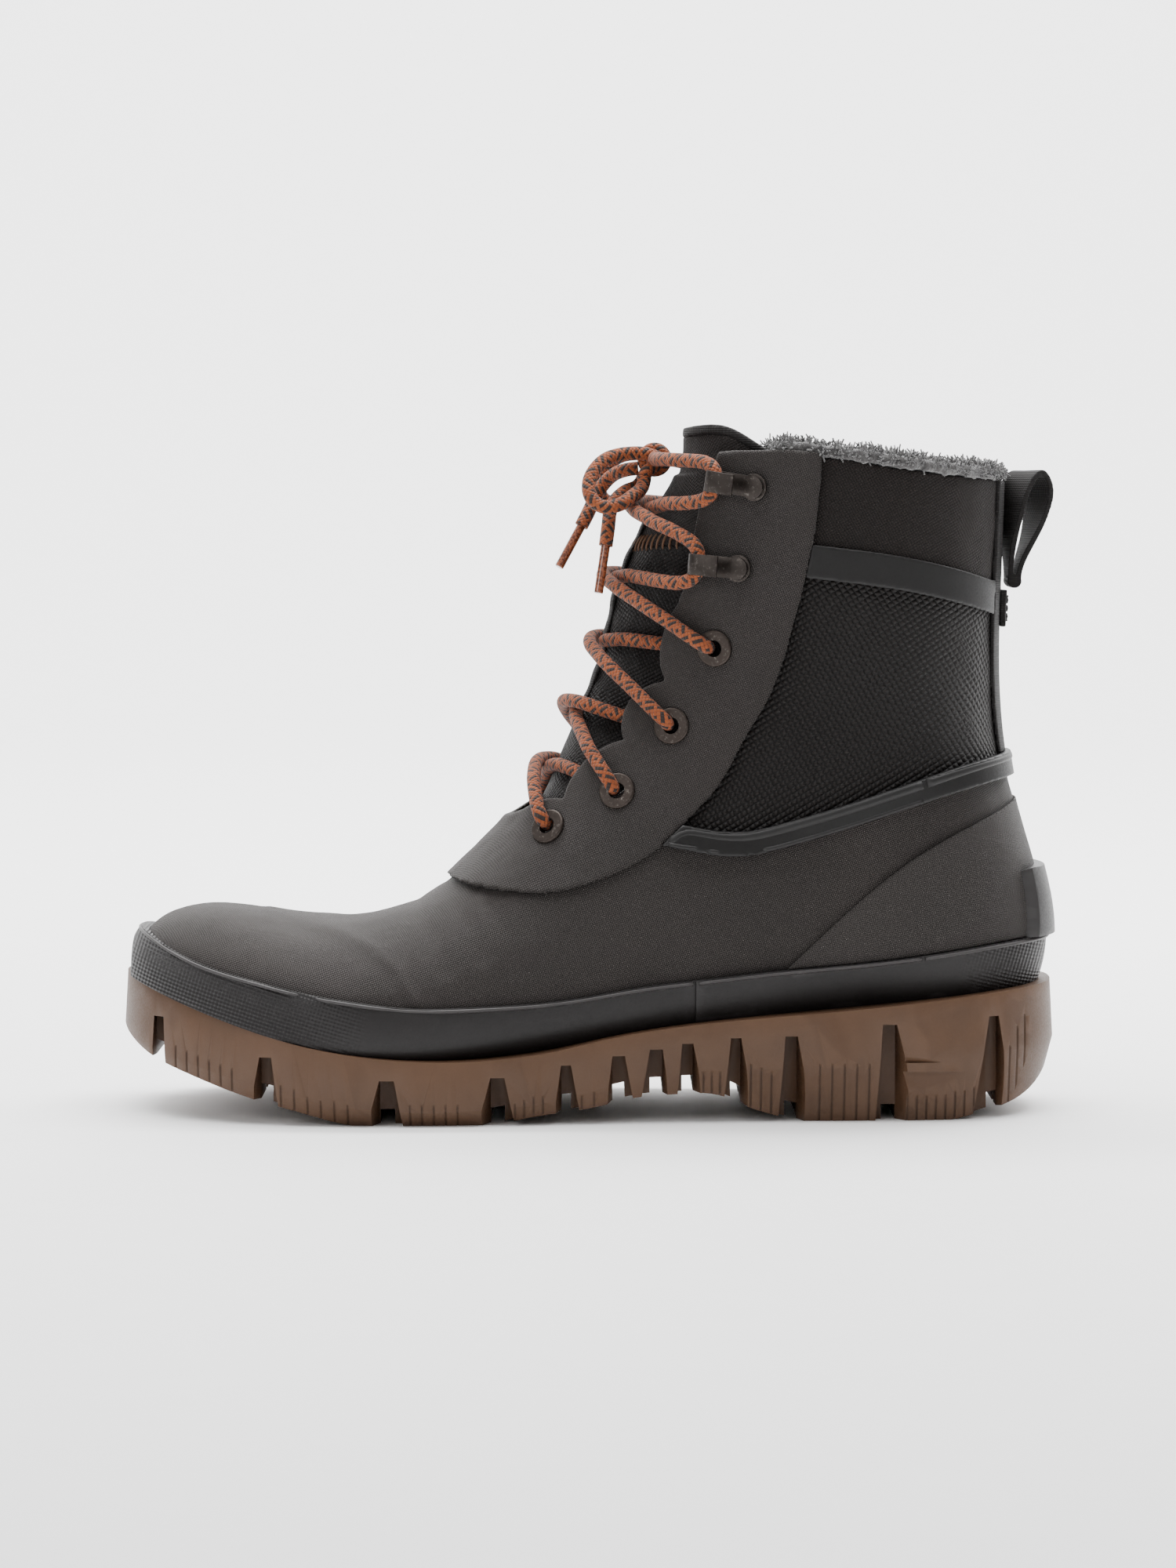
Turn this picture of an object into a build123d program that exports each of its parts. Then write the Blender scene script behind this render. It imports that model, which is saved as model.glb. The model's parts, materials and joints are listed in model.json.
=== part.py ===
"""One insulated lace-up winter boot for the left foot, built from its separate pieces.

Units are millimetres. +Z is up, -X points to the toe and -Y to the outer side of the foot.
The origin is on the ground, under the middle of the outsole's length and width.
"""
from build123d import *
import math
import os

# ---------------------------------------------------------------- driving dimensions
HALF_WIDTH_TO_CUT = 90.0      # how far a side-view outline is extended to each side
FAR = 200.0                   # beyond both ends of the boot

# levels of the layers, measured outwards from the outside of the waterproof shell
OVERLAY = 1.8                 # outside of the eyestay and the heel overlay
SHELL = 0.0                   # outside of the shell, the quarters and the collar
SHELL_INSIDE = -2.0
TOE_PUFF_INSIDE = -3.2
COUNTER_INSIDE = -3.6
BOARD_TOP_SKIN = -4.4
INSULATION_INSIDE = -6.0
LINING_INSIDE = -10.0
KEEPER_FACE = -5.2
TONGUE_FACE = -5.8            # outside of the tongue; the lace runs between it and the eyestay
TONGUE_CLOTH_INSIDE = -7.2
TONGUE_FOAM_INSIDE = -10.5
TONGUE_LINING_INSIDE = -13.0
FOOTBED_SIDE = -10.8
FRONT_FOXING = 2.2
HEEL_FOXING = 2.8
TRIM = 3.6
HEEL_TAB_SHIFT = 2.2          # how much further back than the trim's level the heel tab stands
STRIPE = 1.4

LACE_DIAMETER = 4.6
LACE_GAP = 0.25               # clearance between the lace and what it lies on
EYELET_HOLE_RADIUS = 2.75
EYELET_FLANGE_RADIUS = 6.0
EYELET_BARREL_WALL = 0.6
EYELET_FLANGE_HEIGHT = 1.1
HOOK_PLATE_RADIUS = 4.0
HOOK_PLATE_THICKNESS = 1.0
RIVET_HEAD_RADIUS = 3.6

# positions in the side view, as (x, z)
EYELETS = [(-13.0, 94.7), (9.5, 106.7), (27.2, 127.8), (41.0, 153.2)]
HOOK_RIVETS = [(49.3, 179.0), (54.8, 205.0)]
HOOK_MOUTHS = [(37.3, 180.2), (42.6, 207.2)]

# The shell is a loft through sections that fan round the instep. Each row is the low end (x, z),
# the high end (x, z), the outer and inner half width, where along the section it is widest, and
# the powers of the rounded low and high halves.
SECTIONS = [
    ((-148.5, 35.0), (-148.5, 55.0), 14.0, 19.0, 0.45, 2.2, 2.0),
    ((-144.0, 31.0), (-144.0, 61.0), 24.0, 28.0, 0.42, 2.5, 2.1),
    ((-131.0, 26.0), (-131.0, 66.5), 38.0, 41.0, 0.38, 3.0, 2.2),
    ((-117.0, 23.0), (-117.0, 67.0), 46.0, 48.0, 0.34, 3.4, 2.3),
    ((-97.0, 20.0), (-97.0, 63.5), 52.0, 52.0, 0.32, 3.6, 2.3),
    ((-72.0, 17.5), (-72.0, 64.0), 54.0, 51.0, 0.30, 3.6, 2.2),
    ((-45.0, 17.0), (-52.0, 71.5), 52.0, 48.0, 0.30, 3.4, 2.1),
    ((-15.0, 19.0), (-35.5, 85.5), 48.0, 44.5, 0.31, 3.2, 2.0),
    ((20.0, 22.0), (-22.0, 101.0), 45.0, 42.0, 0.33, 3.0, 1.9),
    ((60.0, 25.0), (-12.0, 123.0), 43.0, 40.5, 0.36, 2.8, 1.85),
    ((100.0, 27.5), (-5.5, 139.0), 42.0, 40.0, 0.38, 2.6, 1.85),
    ((137.0, 31.0), (0.0, 153.0), 42.0, 40.0, 0.38, 2.4, 1.85),
    ((149.5, 53.0), (2.5, 166.0), 42.5, 41.0, 0.40, 2.3, 1.85),
    ((146.0, 84.0), (6.0, 179.0), 43.5, 42.0, 0.42, 2.2, 1.85),
    ((138.5, 112.0), (11.5, 192.0), 45.0, 43.5, 0.44, 2.15, 1.9),
    ((135.0, 145.0), (18.0, 202.5), 46.0, 45.5, 0.46, 2.1, 1.9),
    ((135.5, 180.0), (23.5, 212.0), 47.0, 47.0, 0.47, 2.1, 1.95),
    ((136.5, 214.0), (26.0, 226.0), 47.5, 47.5, 0.48, 2.1, 2.0),
    ((136.5, 240.0), (27.0, 240.0), 47.5, 47.5, 0.48, 2.1, 2.0),
]
TOE_SHARE = {0: 1.0, 1: 0.7, 2: 0.25}    # how much of a layer's growth moves the toe sections forwards
DEEPEST_WITH_NOSE = -9.0                 # deeper levels start at the second section
POINTS_PER_SIDE = 14

# side-view curves, as (x, z) from toe to heel
SOLE_RIM = [(-156, 46), (-150, 44.5), (-140, 41), (-126, 36), (-97, 27), (-66, 21.8), (-40, 20.9),
            (-26, 21.8), (-10, 24), (5, 27.3), (20, 30), (50, 33.5), (80, 36), (112, 39.3),
            (142, 42.3), (158, 43.5)]
FOXING_TOP = [(-156, 62.5), (-148, 60.5), (-138, 56), (-126, 51.3), (-108, 46.5), (-88, 42),
              (-73, 39.7), (-58, 38), (-38, 38), (-7, 40), (18, 44), (35, 46), (63, 49), (94, 51.9),
              (118, 55), (142, 58), (158, 58.5)]
GROUND = [(-158, 34), (-154, 28), (-143, 20), (-134, 16.5), (-105, 7.3), (-90, 3.5), (-76, 0),
          (-64, -0.3), (-42, -0.3), (-30, 0), (-20, 2.2), (0, 5), (15, 8.3), (30, 9.4), (42, 9),
          (52, 4.8), (60, 2.2), (70, 0), (82, -0.3), (106, -0.3), (118, 0), (127, 2), (137, 4.5),
          (146, 9), (151, 14), (158, 27)]
CREASE = [(-158, 28), (-146, 23.6), (-134, 20), (-110, 13.5), (-97, 9.7), (-76, 6.3), (-57, 5),
          (-35, 5), (-23, 6.5), (-11, 8), (0, 10.3), (15, 15.7), (27, 17.4), (40, 18.4),
          (55, 17.3), (80, 18), (105, 20), (137, 22.8), (158, 24.5)]
COLLAR_TOP = [(36, 215.8), (60, 216.3), (75, 215.0), (100, 211.5), (122, 208.8), (145, 207.0)]
THROAT_BACK = [(64, 245), (62, 225), (57, 205), (53, 190), (50, 175), (47, 160), (42, 145),
               (35, 133), (27, 121), (17, 111), (6, 103), (-5, 97), (-18, 91), (-34, 84)]
EYESTAY_FRONT = [[(-27.0, 96.5), (-19, 100.7), (-13.5, 103.4), (-8.0, 103.6)],
                 [(-8.0, 103.6), (-6.0, 108.6), (-0.6, 116), (6, 120.6), (12.3, 122.8)],
                 [(12.3, 122.8), (11.8, 131), (15.5, 137.6), (21, 141), (25.6, 142.2)],
                 [(25.6, 142.2), (23.8, 150.7), (25.0, 158), (29.6, 167)],
                 [(29.6, 167), (33, 180), (35.6, 195), (38.5, 207), (41.5, 213.5)]]
EYESTAY_BACK = [(74.6, 216.0), (74.2, 207), (71.8, 187), (69.3, 174.8), (63.8, 153), (56.7, 134.5),
                (49.4, 122.1), (41.4, 107.7), (31.2, 96.9), (24.4, 90.1), (14.8, 83.4), (4.9, 79),
                (-7.2, 75.1), (-18.4, 74.1), (-32.6, 75.2), (-45.1, 77.0), (-52, 79.0)]
TRIM_TOP = [(24, 97.6), (31.2, 96.2), (41.4, 94.4), (51, 94.2), (62, 96.6), (86, 103.9),
            (110.6, 112.1), (133, 117.8), (146, 119.5)]
TRIM_HEIGHT = 8.0
STRIPE_TOP = [(66, 187.6), (71.8, 186.9), (95, 184), (122.8, 178), (132.3, 175.0)]
STRIPE_HEIGHT = 11.0
OVERLAY_EDGE = [(62.5, 47.5), (78, 62.4), (94.1, 76.8), (110.6, 88.6), (130.9, 98.6), (146, 105.5)]

# plan outline of the outsole at its widest level, as (x, y), going round from the toe
SOLE_PLAN = [(-154.4, 4), (-151, -14), (-141, -31), (-125, -43.5), (-105, -52.5), (-75, -57.8),
             (-40, -57), (-5, -52.5), (30, -49), (70, -47.5), (105, -46.5), (130, -41),
             (146, -28), (153.2, -12), (154.4, 1), (153.2, 13), (146, 27), (130, 39.5), (105, 45),
             (70, 45.5), (30, 46), (-5, 48.5), (-40, 54), (-75, 57.8), (-105, 56), (-125, 49),
             (-141, 37), (-151, 22)]

# notches between the side lugs: (left, right) and height at the top, then (left, right) at the ground
NOTCH_DEPTH = 11.0
WAIST = 15.0                  # the facets face backwards in front of it, and forwards behind it
NOTCHES = [(-141.8, -138.4, 33.0, -144.8, -137.0), (-105.9, -102.0, 22.0, -112.0, -98.0),
           (-67.1, -62.3, 15.0, -73.0, -58.0),
           (-31.4, -26.9, 15.7, -37.5, -21.8), (-8.7, -5.5, 19.4, -12.5, -0.5),
           (7.9, 11.9, 22.2, 4.0, 17.5), (20.0, 24.1, 24.2, 14.5, 29.0),
           (30.4, 34.0, 26.0, 27.5, 41.0), (46.2, 49.5, 27.7, 42.5, 56.0),
           (63.8, 67.8, 28.2, 61.0, 74.5), (95.3, 99.9, 31.9, 92.8, 110.0),
           (130.2, 133.4, 34.0, 124.0, 141.0)]

os.makedirs("parts", exist_ok=True)


# ---------------------------------------------------------------- helpers
def at(curve, x):
    """Height of a side-view curve at x, by straight interpolation."""
    for (x0, z0), (x1, z1) in zip(curve, curve[1:]):
        if x0 <= x <= x1:
            return z0 + (z1 - z0) * (x - x0) / (x1 - x0)
    return curve[0][1] if x < curve[0][0] else curve[-1][1]


def ring(section, grow, toe_share):
    """One closed section of the shell, grown outwards by grow."""
    (xl, zl), (xh, zh), outer, inner, widest, low_power, high_power = section
    length = math.hypot(xh - xl, zh - zl)
    ux, uz = (xh - xl) / length, (zh - zl) / length
    xl, zl, length = xl - ux * grow - toe_share * grow, zl - uz * grow, length + 2 * grow
    points = []
    for k in range(2 * POINTS_PER_SIDE):
        angle = math.pi * k / POINTS_PER_SIDE
        side, half_width = (-1, outer) if angle <= math.pi else (1, inner)
        low = math.cos(angle) > 0
        power = low_power if low else high_power
        along = abs(math.cos(angle)) ** (2 / power)
        share = widest - widest * along if low else widest + (1 - widest) * along
        across = side * (half_width + grow) * abs(math.sin(angle)) ** (2 / power)
        points.append(Vector(xl + ux * length * share, across, zl + uz * length * share))
    even = [float(k) for k in range(2 * POINTS_PER_SIDE + 1)]
    return Wire([Edge.make_spline(points, periodic=True, parameters=even)])


def last(grow):
    """The solid inside the level that lies grow outside the shell."""
    rings = [ring(s, grow, TOE_SHARE.get(i, 0.0)) for i, s in enumerate(SECTIONS)]
    return Solid.make_loft(rings if grow > DEEPEST_WITH_NOSE else rings[1:])


def spline(points):
    return Edge.make_spline([Vector(x, 0, z) for x, z in points])


def lines(points):
    return [Edge.make_line(Vector(a[0], 0, a[1]), Vector(b[0], 0, b[1]))
            for a, b in zip(points, points[1:])]


def across(edges, low=-HALF_WIDTH_TO_CUT, high=HALF_WIDTH_TO_CUT):
    """A solid with a side-view outline, from y = low to y = high."""
    face = Face(Wire(edges))
    return Solid.extrude(face.moved(Location((0, low, 0))), Vector(0, high - low, 0))


def slab(x_low, x_high, y_low=-HALF_WIDTH_TO_CUT, y_high=HALF_WIDTH_TO_CUT, z_low=-20, z_high=260):
    """A plain box given by its limits."""
    return Solid.make_box(x_high - x_low, y_high - y_low, z_high - z_low,
                          Plane((x_low, y_low, z_low)))


def beside(curve, level_z):
    """Everything between a side-view curve, carried on level at both ends, and a height."""
    (x0, z0), (x1, z1) = curve[0], curve[-1]
    return across([*lines([(-FAR, level_z), (-FAR, z0), (x0, z0)]), spline(curve),
                   *lines([(x1, z1), (FAR, z1), (FAR, level_z), (-FAR, level_z)])])


def above(curve):
    return beside(curve, 260)


def below(curve):
    return beside(curve, -20)


def raised(curve, dz):
    return [(x, z + dz) for x, z in curve]


def shifted(curve, dx):
    return [(x + dx, z) for x, z in curve]


def biggest(shape):
    return max(shape.solids(), key=lambda s: s.volume)


def write(name, shape):
    """Keep the real pieces of a shape, without slivers, and write them as one node."""
    solids = [s for s in shape.solids() if s.volume > 1.0]
    export_step(solids[0] if len(solids) == 1 else Compound(solids), f"parts/{name}.step")
    print(name, len(solids), [round(s.volume) for s in solids][:6])


# ---------------------------------------------------------------- levels and regions
level = {g: last(g) for g in (TRIM, HEEL_FOXING, FRONT_FOXING, OVERLAY, STRIPE, SHELL, SHELL_INSIDE,
                              TOE_PUFF_INSIDE, COUNTER_INSIDE, BOARD_TOP_SKIN, KEEPER_FACE,
                              TONGUE_FACE, INSULATION_INSIDE, TONGUE_CLOTH_INSIDE, LINING_INSIDE,
                              TONGUE_FOAM_INSIDE, FOOTBED_SIDE, TONGUE_LINING_INSIDE)}
HEEL_TAB_HALF_WIDTH = 25.0
OUTER_SIDE = slab(-200, 200, -HALF_WIDTH_TO_CUT, 0)
INNER_SIDE = slab(-200, 200, 0, HALF_WIDTH_TO_CUT)


def throat(clearance=0.0):
    """Everything in front of the throat's back edge, where the tongue is."""
    curve = shifted(THROAT_BACK, -clearance)
    return across([spline(curve), *lines([curve[-1], (-70, 95), (-70, 260), (curve[0][0], 260),
                                          curve[0]])])


def layer(outside, inside, region):
    """What lies between two levels inside a side-view region."""
    return (level[outside] & region) - level[inside]


def two_sides(name, shape):
    """Write the outer and the inner half of a piece as two nodes."""
    write(name + "_outer", shape & OUTER_SIDE)
    write(name + "_inner", shape & INNER_SIDE)


seam_low = [(28, 92.2)] + raised(TRIM_TOP[2:-1], -TRIM_HEIGHT / 2) + [(170, 118)]
BELOW_TRIM = across([*lines([(28, 150), seam_low[0]]), spline(seam_low),
                     *lines([seam_low[-1], (170, -20), (-170, -20), (-170, 150), (28, 150)])])
seam_high = [(40, 184)] + raised(STRIPE_TOP, -STRIPE_HEIGHT / 2) + [(170, 160)]
BELOW_STRIPE = below(seam_high)
ABOVE_STRIPE = above(seam_high)

eyestay_edges = [spline(run) for run in EYESTAY_FRONT]
eyestay_edges += lines([EYESTAY_FRONT[-1][-1], (42.6, 216.4)])
eyestay_edges += [spline([(42.6, 216.4), (58, 217.0), EYESTAY_BACK[0]])]
eyestay_edges += [spline(EYESTAY_BACK)]
eyestay_edges += lines([EYESTAY_BACK[-1], (-60, 79.0), (-60, 106), (-28, 106), EYESTAY_FRONT[0][0]])
EYESTAY = across(eyestay_edges)


# ---------------------------------------------------------------- outsole and what is above it
def plan_ring(inset, height):
    """The outsole's plan outline moved inwards, at a height that may change along its length."""
    points = []
    count = len(SOLE_PLAN)
    for i, (x, y) in enumerate(SOLE_PLAN):
        (x0, y0), (x1, y1) = SOLE_PLAN[i - 1], SOLE_PLAN[(i + 1) % count]
        size = math.hypot(x1 - x0, y1 - y0)
        nx, ny = -(y1 - y0) / size, (x1 - x0) / size
        points.append(Vector(x + nx * inset, y + ny * inset, height(x)))
    even = [float(k) for k in range(count + 1)]
    return Wire([Edge.make_spline(points, periodic=True, parameters=even)])


def sole_blank(inset=0.0):
    """The outsole's outside: undercut below the crease, nearly upright above it."""
    return Solid.make_loft([plan_ring(inset + 7.0, lambda x: -3.0),
                            plan_ring(inset, lambda x: at(CREASE, x)),
                            plan_ring(inset + 2.2, lambda x: 66.0)], ruled=True)


def half_width(x, side):
    """Half width of the outsole's plan outline at x, on one side."""
    outline = sorted(p for p in SOLE_PLAN if p[1] * side > 0)
    return abs(at(outline, x))


def notch_wire(left, right, top, low_left, low_right, y):
    """The outline of a notch at one y: a wedge that is open at the ground."""
    corners = [(left, top), (right, top), (low_right, -8), (low_left, -8)]
    return Wire.make_polygon([Vector(x, y, z) for x, z in corners])


def notch(left, right, top, low_left, low_right, side):
    """A notch between two lugs at one side, with a slanting facet on the lug that leads into it."""
    edge = side * half_width((left + right) / 2, side)
    deep, wide = edge - side * NOTCH_DEPTH, edge + side * NOTCH_DEPTH
    facet_left, facet_right = low_left, low_right
    if left < WAIST:
        facet_left = 2 * low_left - left
        low_left = left
    else:
        facet_right = 2 * low_right - right
        low_right = right
    return Solid.make_loft([notch_wire(left, right, top, low_left, low_right, deep),
                            notch_wire(left, right, top, facet_left, facet_right, wide)], ruled=True)


MIDSOLE_BASE = [(-160, 27), (-146, 24), (-131, 21.5), (-110, 15.5), (-90, 12.2), (-72, 11), (-30, 11),
                (0, 14), (20, 16.5), (40, 17), (60, 15.5), (80, 14.5), (120, 15.5), (145, 19), (160, 24)]
MIDSOLE_TOP = [(-160, 37), (-140, 31.5), (-120, 26.5), (-97, 23.5), (-72, 20.8), (-40, 20.4),
               (-10, 22.6), (20, 25.6), (60, 28.6), (100, 31), (137, 34.5), (160, 38)]
blank = sole_blank()
core = Solid.extrude(Face(plan_ring(NOTCH_DEPTH, lambda x: -5.0)), Vector(0, 0, 90))
midsole_plan = Solid.extrude(Face(plan_ring(14.0, lambda x: -5.0)), Vector(0, 0, 90))
midsole_blank = midsole_plan & below(MIDSOLE_TOP) & above(MIDSOLE_BASE)
shank = slab(-20, 78, -9, 9) & above(raised(MIDSOLE_BASE, 2.2)) & below(raised(MIDSOLE_BASE, 3.7))
midsole = midsole_blank - level[SHELL] - shank
write("midsole", midsole)
write("shank", shank)

outsole = blank & below(SOLE_RIM) & above(GROUND) & slab(-200, 200, z_low=0)
outsole = outsole - level[SHELL] - midsole_blank
TREAD_DEPTH = 5.0
tread_zone = below(raised(GROUND, TREAD_DEPTH))
for sides in NOTCHES:
    for side in (-1, 1):
        outsole = outsole - (notch(*sides, side) - core)
    left, right, top, low_left, low_right = sides
    outsole = outsole - (slab(left, right) & tread_zone)
for y in (-17.0, 17.0):
    outsole = outsole - (slab(-128, 136, y - 2.5, y + 2.5) & tread_zone)

# a ledge across the rear lug, with a scoop below it and a shallow one above it
LEDGE = (101.5, 127.0)
LEDGE_SCOOPS = [[(3, 16.8), (-4.5, 16.2), (-2.5, 8.5), (3, 7.5)], [(3, 25.0), (-1.6, 19.6), (3, 19.2)]]
for side in (-1, 1):
    edge = side * half_width(LEDGE[0], side)
    for profile in LEDGE_SCOOPS:
        corners = [Vector(LEDGE[0], edge + side * y, z) for y, z in profile]
        scoop = Solid.extrude(Face(Wire.make_polygon(corners)), Vector(LEDGE[1] - LEDGE[0], 0, 0))
        outsole = outsole - scoop
write("outsole", biggest(outsole))

FOXING_LAP = 35.0
foxing_band = above(SOLE_RIM) & below(FOXING_TOP)
write("front_foxing", layer(FRONT_FOXING, SHELL, foxing_band & slab(-200, FOXING_LAP)))
write("heel_foxing", layer(HEEL_FOXING, SHELL, foxing_band & slab(FOXING_LAP, 200)))

# ---------------------------------------------------------------- upper
write("lower_shell", layer(SHELL, SHELL_INSIDE, BELOW_TRIM) - throat())
quarters = layer(SHELL, SHELL_INSIDE, BELOW_STRIPE) - BELOW_TRIM - throat()
two_sides("quarter_panel", quarters)
collar = layer(SHELL, SHELL_INSIDE, ABOVE_STRIPE & below(COLLAR_TOP)) - throat()
two_sides("collar_panel", collar)

BACK_STRIP_HALF_WIDTH = 17.0
back_strip = (layer(STRIPE, SHELL, slab(100, 200, -BACK_STRIP_HALF_WIDTH, BACK_STRIP_HALF_WIDTH))
              & above(TRIM_TOP) & below(COLLAR_TOP))
write("back_strip", back_strip)
stripe_zone = above(raised(STRIPE_TOP, -STRIPE_HEIGHT)) & below(STRIPE_TOP) & slab(60, 200)
stripe = layer(STRIPE, SHELL, stripe_zone) - EYESTAY
stripe = stripe - slab(100, 200, -BACK_STRIP_HALF_WIDTH, BACK_STRIP_HALF_WIDTH)
two_sides("collar_stripe", stripe)
trim_zone = above(raised(TRIM_TOP, -TRIM_HEIGHT)) & below(TRIM_TOP) & slab(20, 200)
write("shell_trim", layer(TRIM, SHELL, trim_zone) - EYESTAY)
overlay_zone = above(FOXING_TOP) & below(OVERLAY_EDGE) & slab(60, 200)
write("heel_overlay", layer(OVERLAY, SHELL, overlay_zone))

tab_zone = across(lines([(140.2, 79.6), (146, 81.2), (160, 80.2), (160, 58), (142.6, 58),
                         (140.2, 79.6)]))
tab_zone = tab_zone & slab(120, 160, -HEEL_TAB_HALF_WIDTH, HEEL_TAB_HALF_WIDTH)
tab = (level[TRIM].moved(Location((HEEL_TAB_SHIFT, 0, 0))) & tab_zone) - level[OVERLAY]
write("heel_tab", tab - foxing_band)

puff_zone = across(lines([(-170, 34), (-125, 31), (-75, 42), (-67, 90), (-170, 90), (-170, 34)]))
puff = layer(SHELL_INSIDE, TOE_PUFF_INSIDE, puff_zone)
counter_zone = across(lines([(84, 36), (170, 40), (170, 104), (112, 90), (84, 36)]))
counter = layer(SHELL_INSIDE, COUNTER_INSIDE, counter_zone)
board_zone = below([(-160, 36), (-131, 31), (-97, 25.5), (-72, 23), (-45, 22.5), (-15, 24.5),
                    (20, 27.5), (60, 30.5), (100, 33), (150, 37)])
write("lasting_board", layer(SHELL_INSIDE, BOARD_TOP_SKIN, board_zone))
write("toe_puff", puff - board_zone)
write("heel_counter", counter - board_zone)

insulation = layer(SHELL_INSIDE, INSULATION_INSIDE, below(raised(COLLAR_TOP, -0.6))) - throat()
insulation = insulation - (puff_zone - level[TOE_PUFF_INSIDE])
insulation = insulation - (counter_zone - level[COUNTER_INSIDE])
insulation = insulation - (board_zone - level[BOARD_TOP_SKIN])
write("insulation", insulation)

FLEECE_STANDS = 3.6
lining_blank = (level[SHELL] & below(raised(COLLAR_TOP, FLEECE_STANDS))) - level[LINING_INSIDE]
lining = lining_blank - throat() - (below(COLLAR_TOP) - level[INSULATION_INSIDE])
write("lining", lining)

FOOTBED_TOP = [(-160, 49), (-131, 41), (-97, 35), (-72, 32.5), (-45, 32), (-15, 34), (20, 37.5),
               (60, 41), (100, 43), (130, 46.5), (160, 50)]
write("footbed", level[FOOTBED_SIDE] & below(FOOTBED_TOP))

# ---------------------------------------------------------------- tongue
FLAP_HINGE = (35.0, 211.5)        # (x, z) of the line across which the tongue's top bends
FLAP_HALF_WIDTH = 27.0
FLAP_GAP = 3.7
TONGUE_TOP = [(0, 219), (20, 222.6), (33, 224.8), (44, 225.0), (52, 221.0), (62, 214.5), (80, 212)]

hinge_x, hinge_z = FLAP_HINGE
in_throat = throat(0.6)
flap_low = hinge_z - 2.0
flap_box = slab(-60, 90, -FLAP_HALF_WIDTH, FLAP_HALF_WIDTH, flap_low, 260)
flap_zone = slab(-60, 90, -FLAP_HALF_WIDTH + 0.5, FLAP_HALF_WIDTH - 0.5, flap_low + FLAP_GAP, 260)


def tongue_layer(outside, inside, drop):
    """One layer of the tongue, with its top edge lowered by drop."""
    sheet = (level[outside] & in_throat & below(raised(TONGUE_TOP, -drop))) - level[inside]
    return sheet & above([(-60, 84), (-30, 84), (-20, 92), (40, 92)])


BINDING = 2.6
cloth = tongue_layer(TONGUE_FACE, TONGUE_CLOTH_INSIDE, BINDING)
foam = tongue_layer(TONGUE_CLOTH_INSIDE, TONGUE_FOAM_INSIDE, BINDING)
fleece = tongue_layer(TONGUE_FOAM_INSIDE, TONGUE_LINING_INSIDE, BINDING)
binding = tongue_layer(TONGUE_FACE, TONGUE_LINING_INSIDE, 0.0) & above(raised(TONGUE_TOP, -BINDING))
CLOTH_SPLIT = 186.0
write("tongue_mesh", cloth & slab(-60, 90, z_low=60, z_high=CLOTH_SPLIT))
write("tongue_cloth", (cloth & slab(-60, 90, z_low=CLOTH_SPLIT, z_high=260)) - flap_box)
write("tongue_foam", foam - flap_box)
write("tongue_lining", fleece - flap_box)
write("tongue_binding_sides", binding - flap_box)
write("flap_cloth", cloth & flap_zone)
write("flap_foam", foam & flap_zone)
write("flap_lining", fleece & flap_zone)
write("flap_binding", binding & flap_zone)
GUSSET_WIDTH = 5.0
gusset = (level[KEEPER_FACE] & in_throat & below(raised(COLLAR_TOP, -8))) - level[TONGUE_FACE]
gusset = (gusset - throat(GUSSET_WIDTH)) & above([(-60, 96), (-30, 96), (-12, 98), (60, 98)])
two_sides("gusset", gusset)
KEEPER_HALF_WIDTH = 4.5
keeper_zone = slab(-60, 40, -KEEPER_HALF_WIDTH, KEEPER_HALF_WIDTH, 128, 200)
write("tongue_keeper", (level[KEEPER_FACE] & keeper_zone) - level[TONGUE_FACE])

# ---------------------------------------------------------------- eyelets and hooks
def skin(grow, x, z, side):
    """The point and outward normal of a level where a line across the boot meets it."""
    hits = level[grow].find_intersection_points(Axis((x, side * 120, z), (0, -side, 0)))
    point, normal = min(hits, key=lambda hit: abs(hit[0].Y - side * 120))
    if normal.Y * side < 0:
        normal = -normal
    return point, normal


def frame_at(grow, x, z, side, ahead=Vector(0, 0, 1)):
    """A plane on the level: its z axis is the normal and its x axis leans towards ahead."""
    point, normal = skin(grow, x, z, side)
    along = ahead - normal * ahead.dot(normal)
    return Plane(point, x_dir=along, z_dir=normal)


def disc(plane, radius, low, high):
    """A cylinder on a plane's z axis between two heights."""
    return Solid.make_cylinder(radius, high - low, plane.offset(low))


eyestay = layer(OVERLAY, SHELL, EYESTAY)
THREAD = OVERLAY - SHELL
for side, name in ((-1, "outer"), (1, "inner")):
    eyelets = []
    for x, z in EYELETS:
        spot = frame_at(OVERLAY, x, z, side)
        hole = disc(spot, EYELET_HOLE_RADIUS, -6, 6)
        barrel = disc(spot, EYELET_HOLE_RADIUS + EYELET_BARREL_WALL, -THREAD - 0.7, 0.2)
        flange = disc(spot, EYELET_FLANGE_RADIUS, -0.1, EYELET_FLANGE_HEIGHT)
        rim = flange.edges().group_by(lambda e: (e.center() - spot.origin).dot(spot.z_dir))[-1]
        flange = fillet(rim, 0.7)
        roll = disc(spot, EYELET_HOLE_RADIUS + 1.5, -THREAD - 0.7, -THREAD - 0.15)
        whole = barrel + flange + roll
        eyestay = eyestay - whole - hole
        eyelets.append(biggest(whole - hole))
    write("eyelets_" + name, Compound(eyelets))

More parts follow.
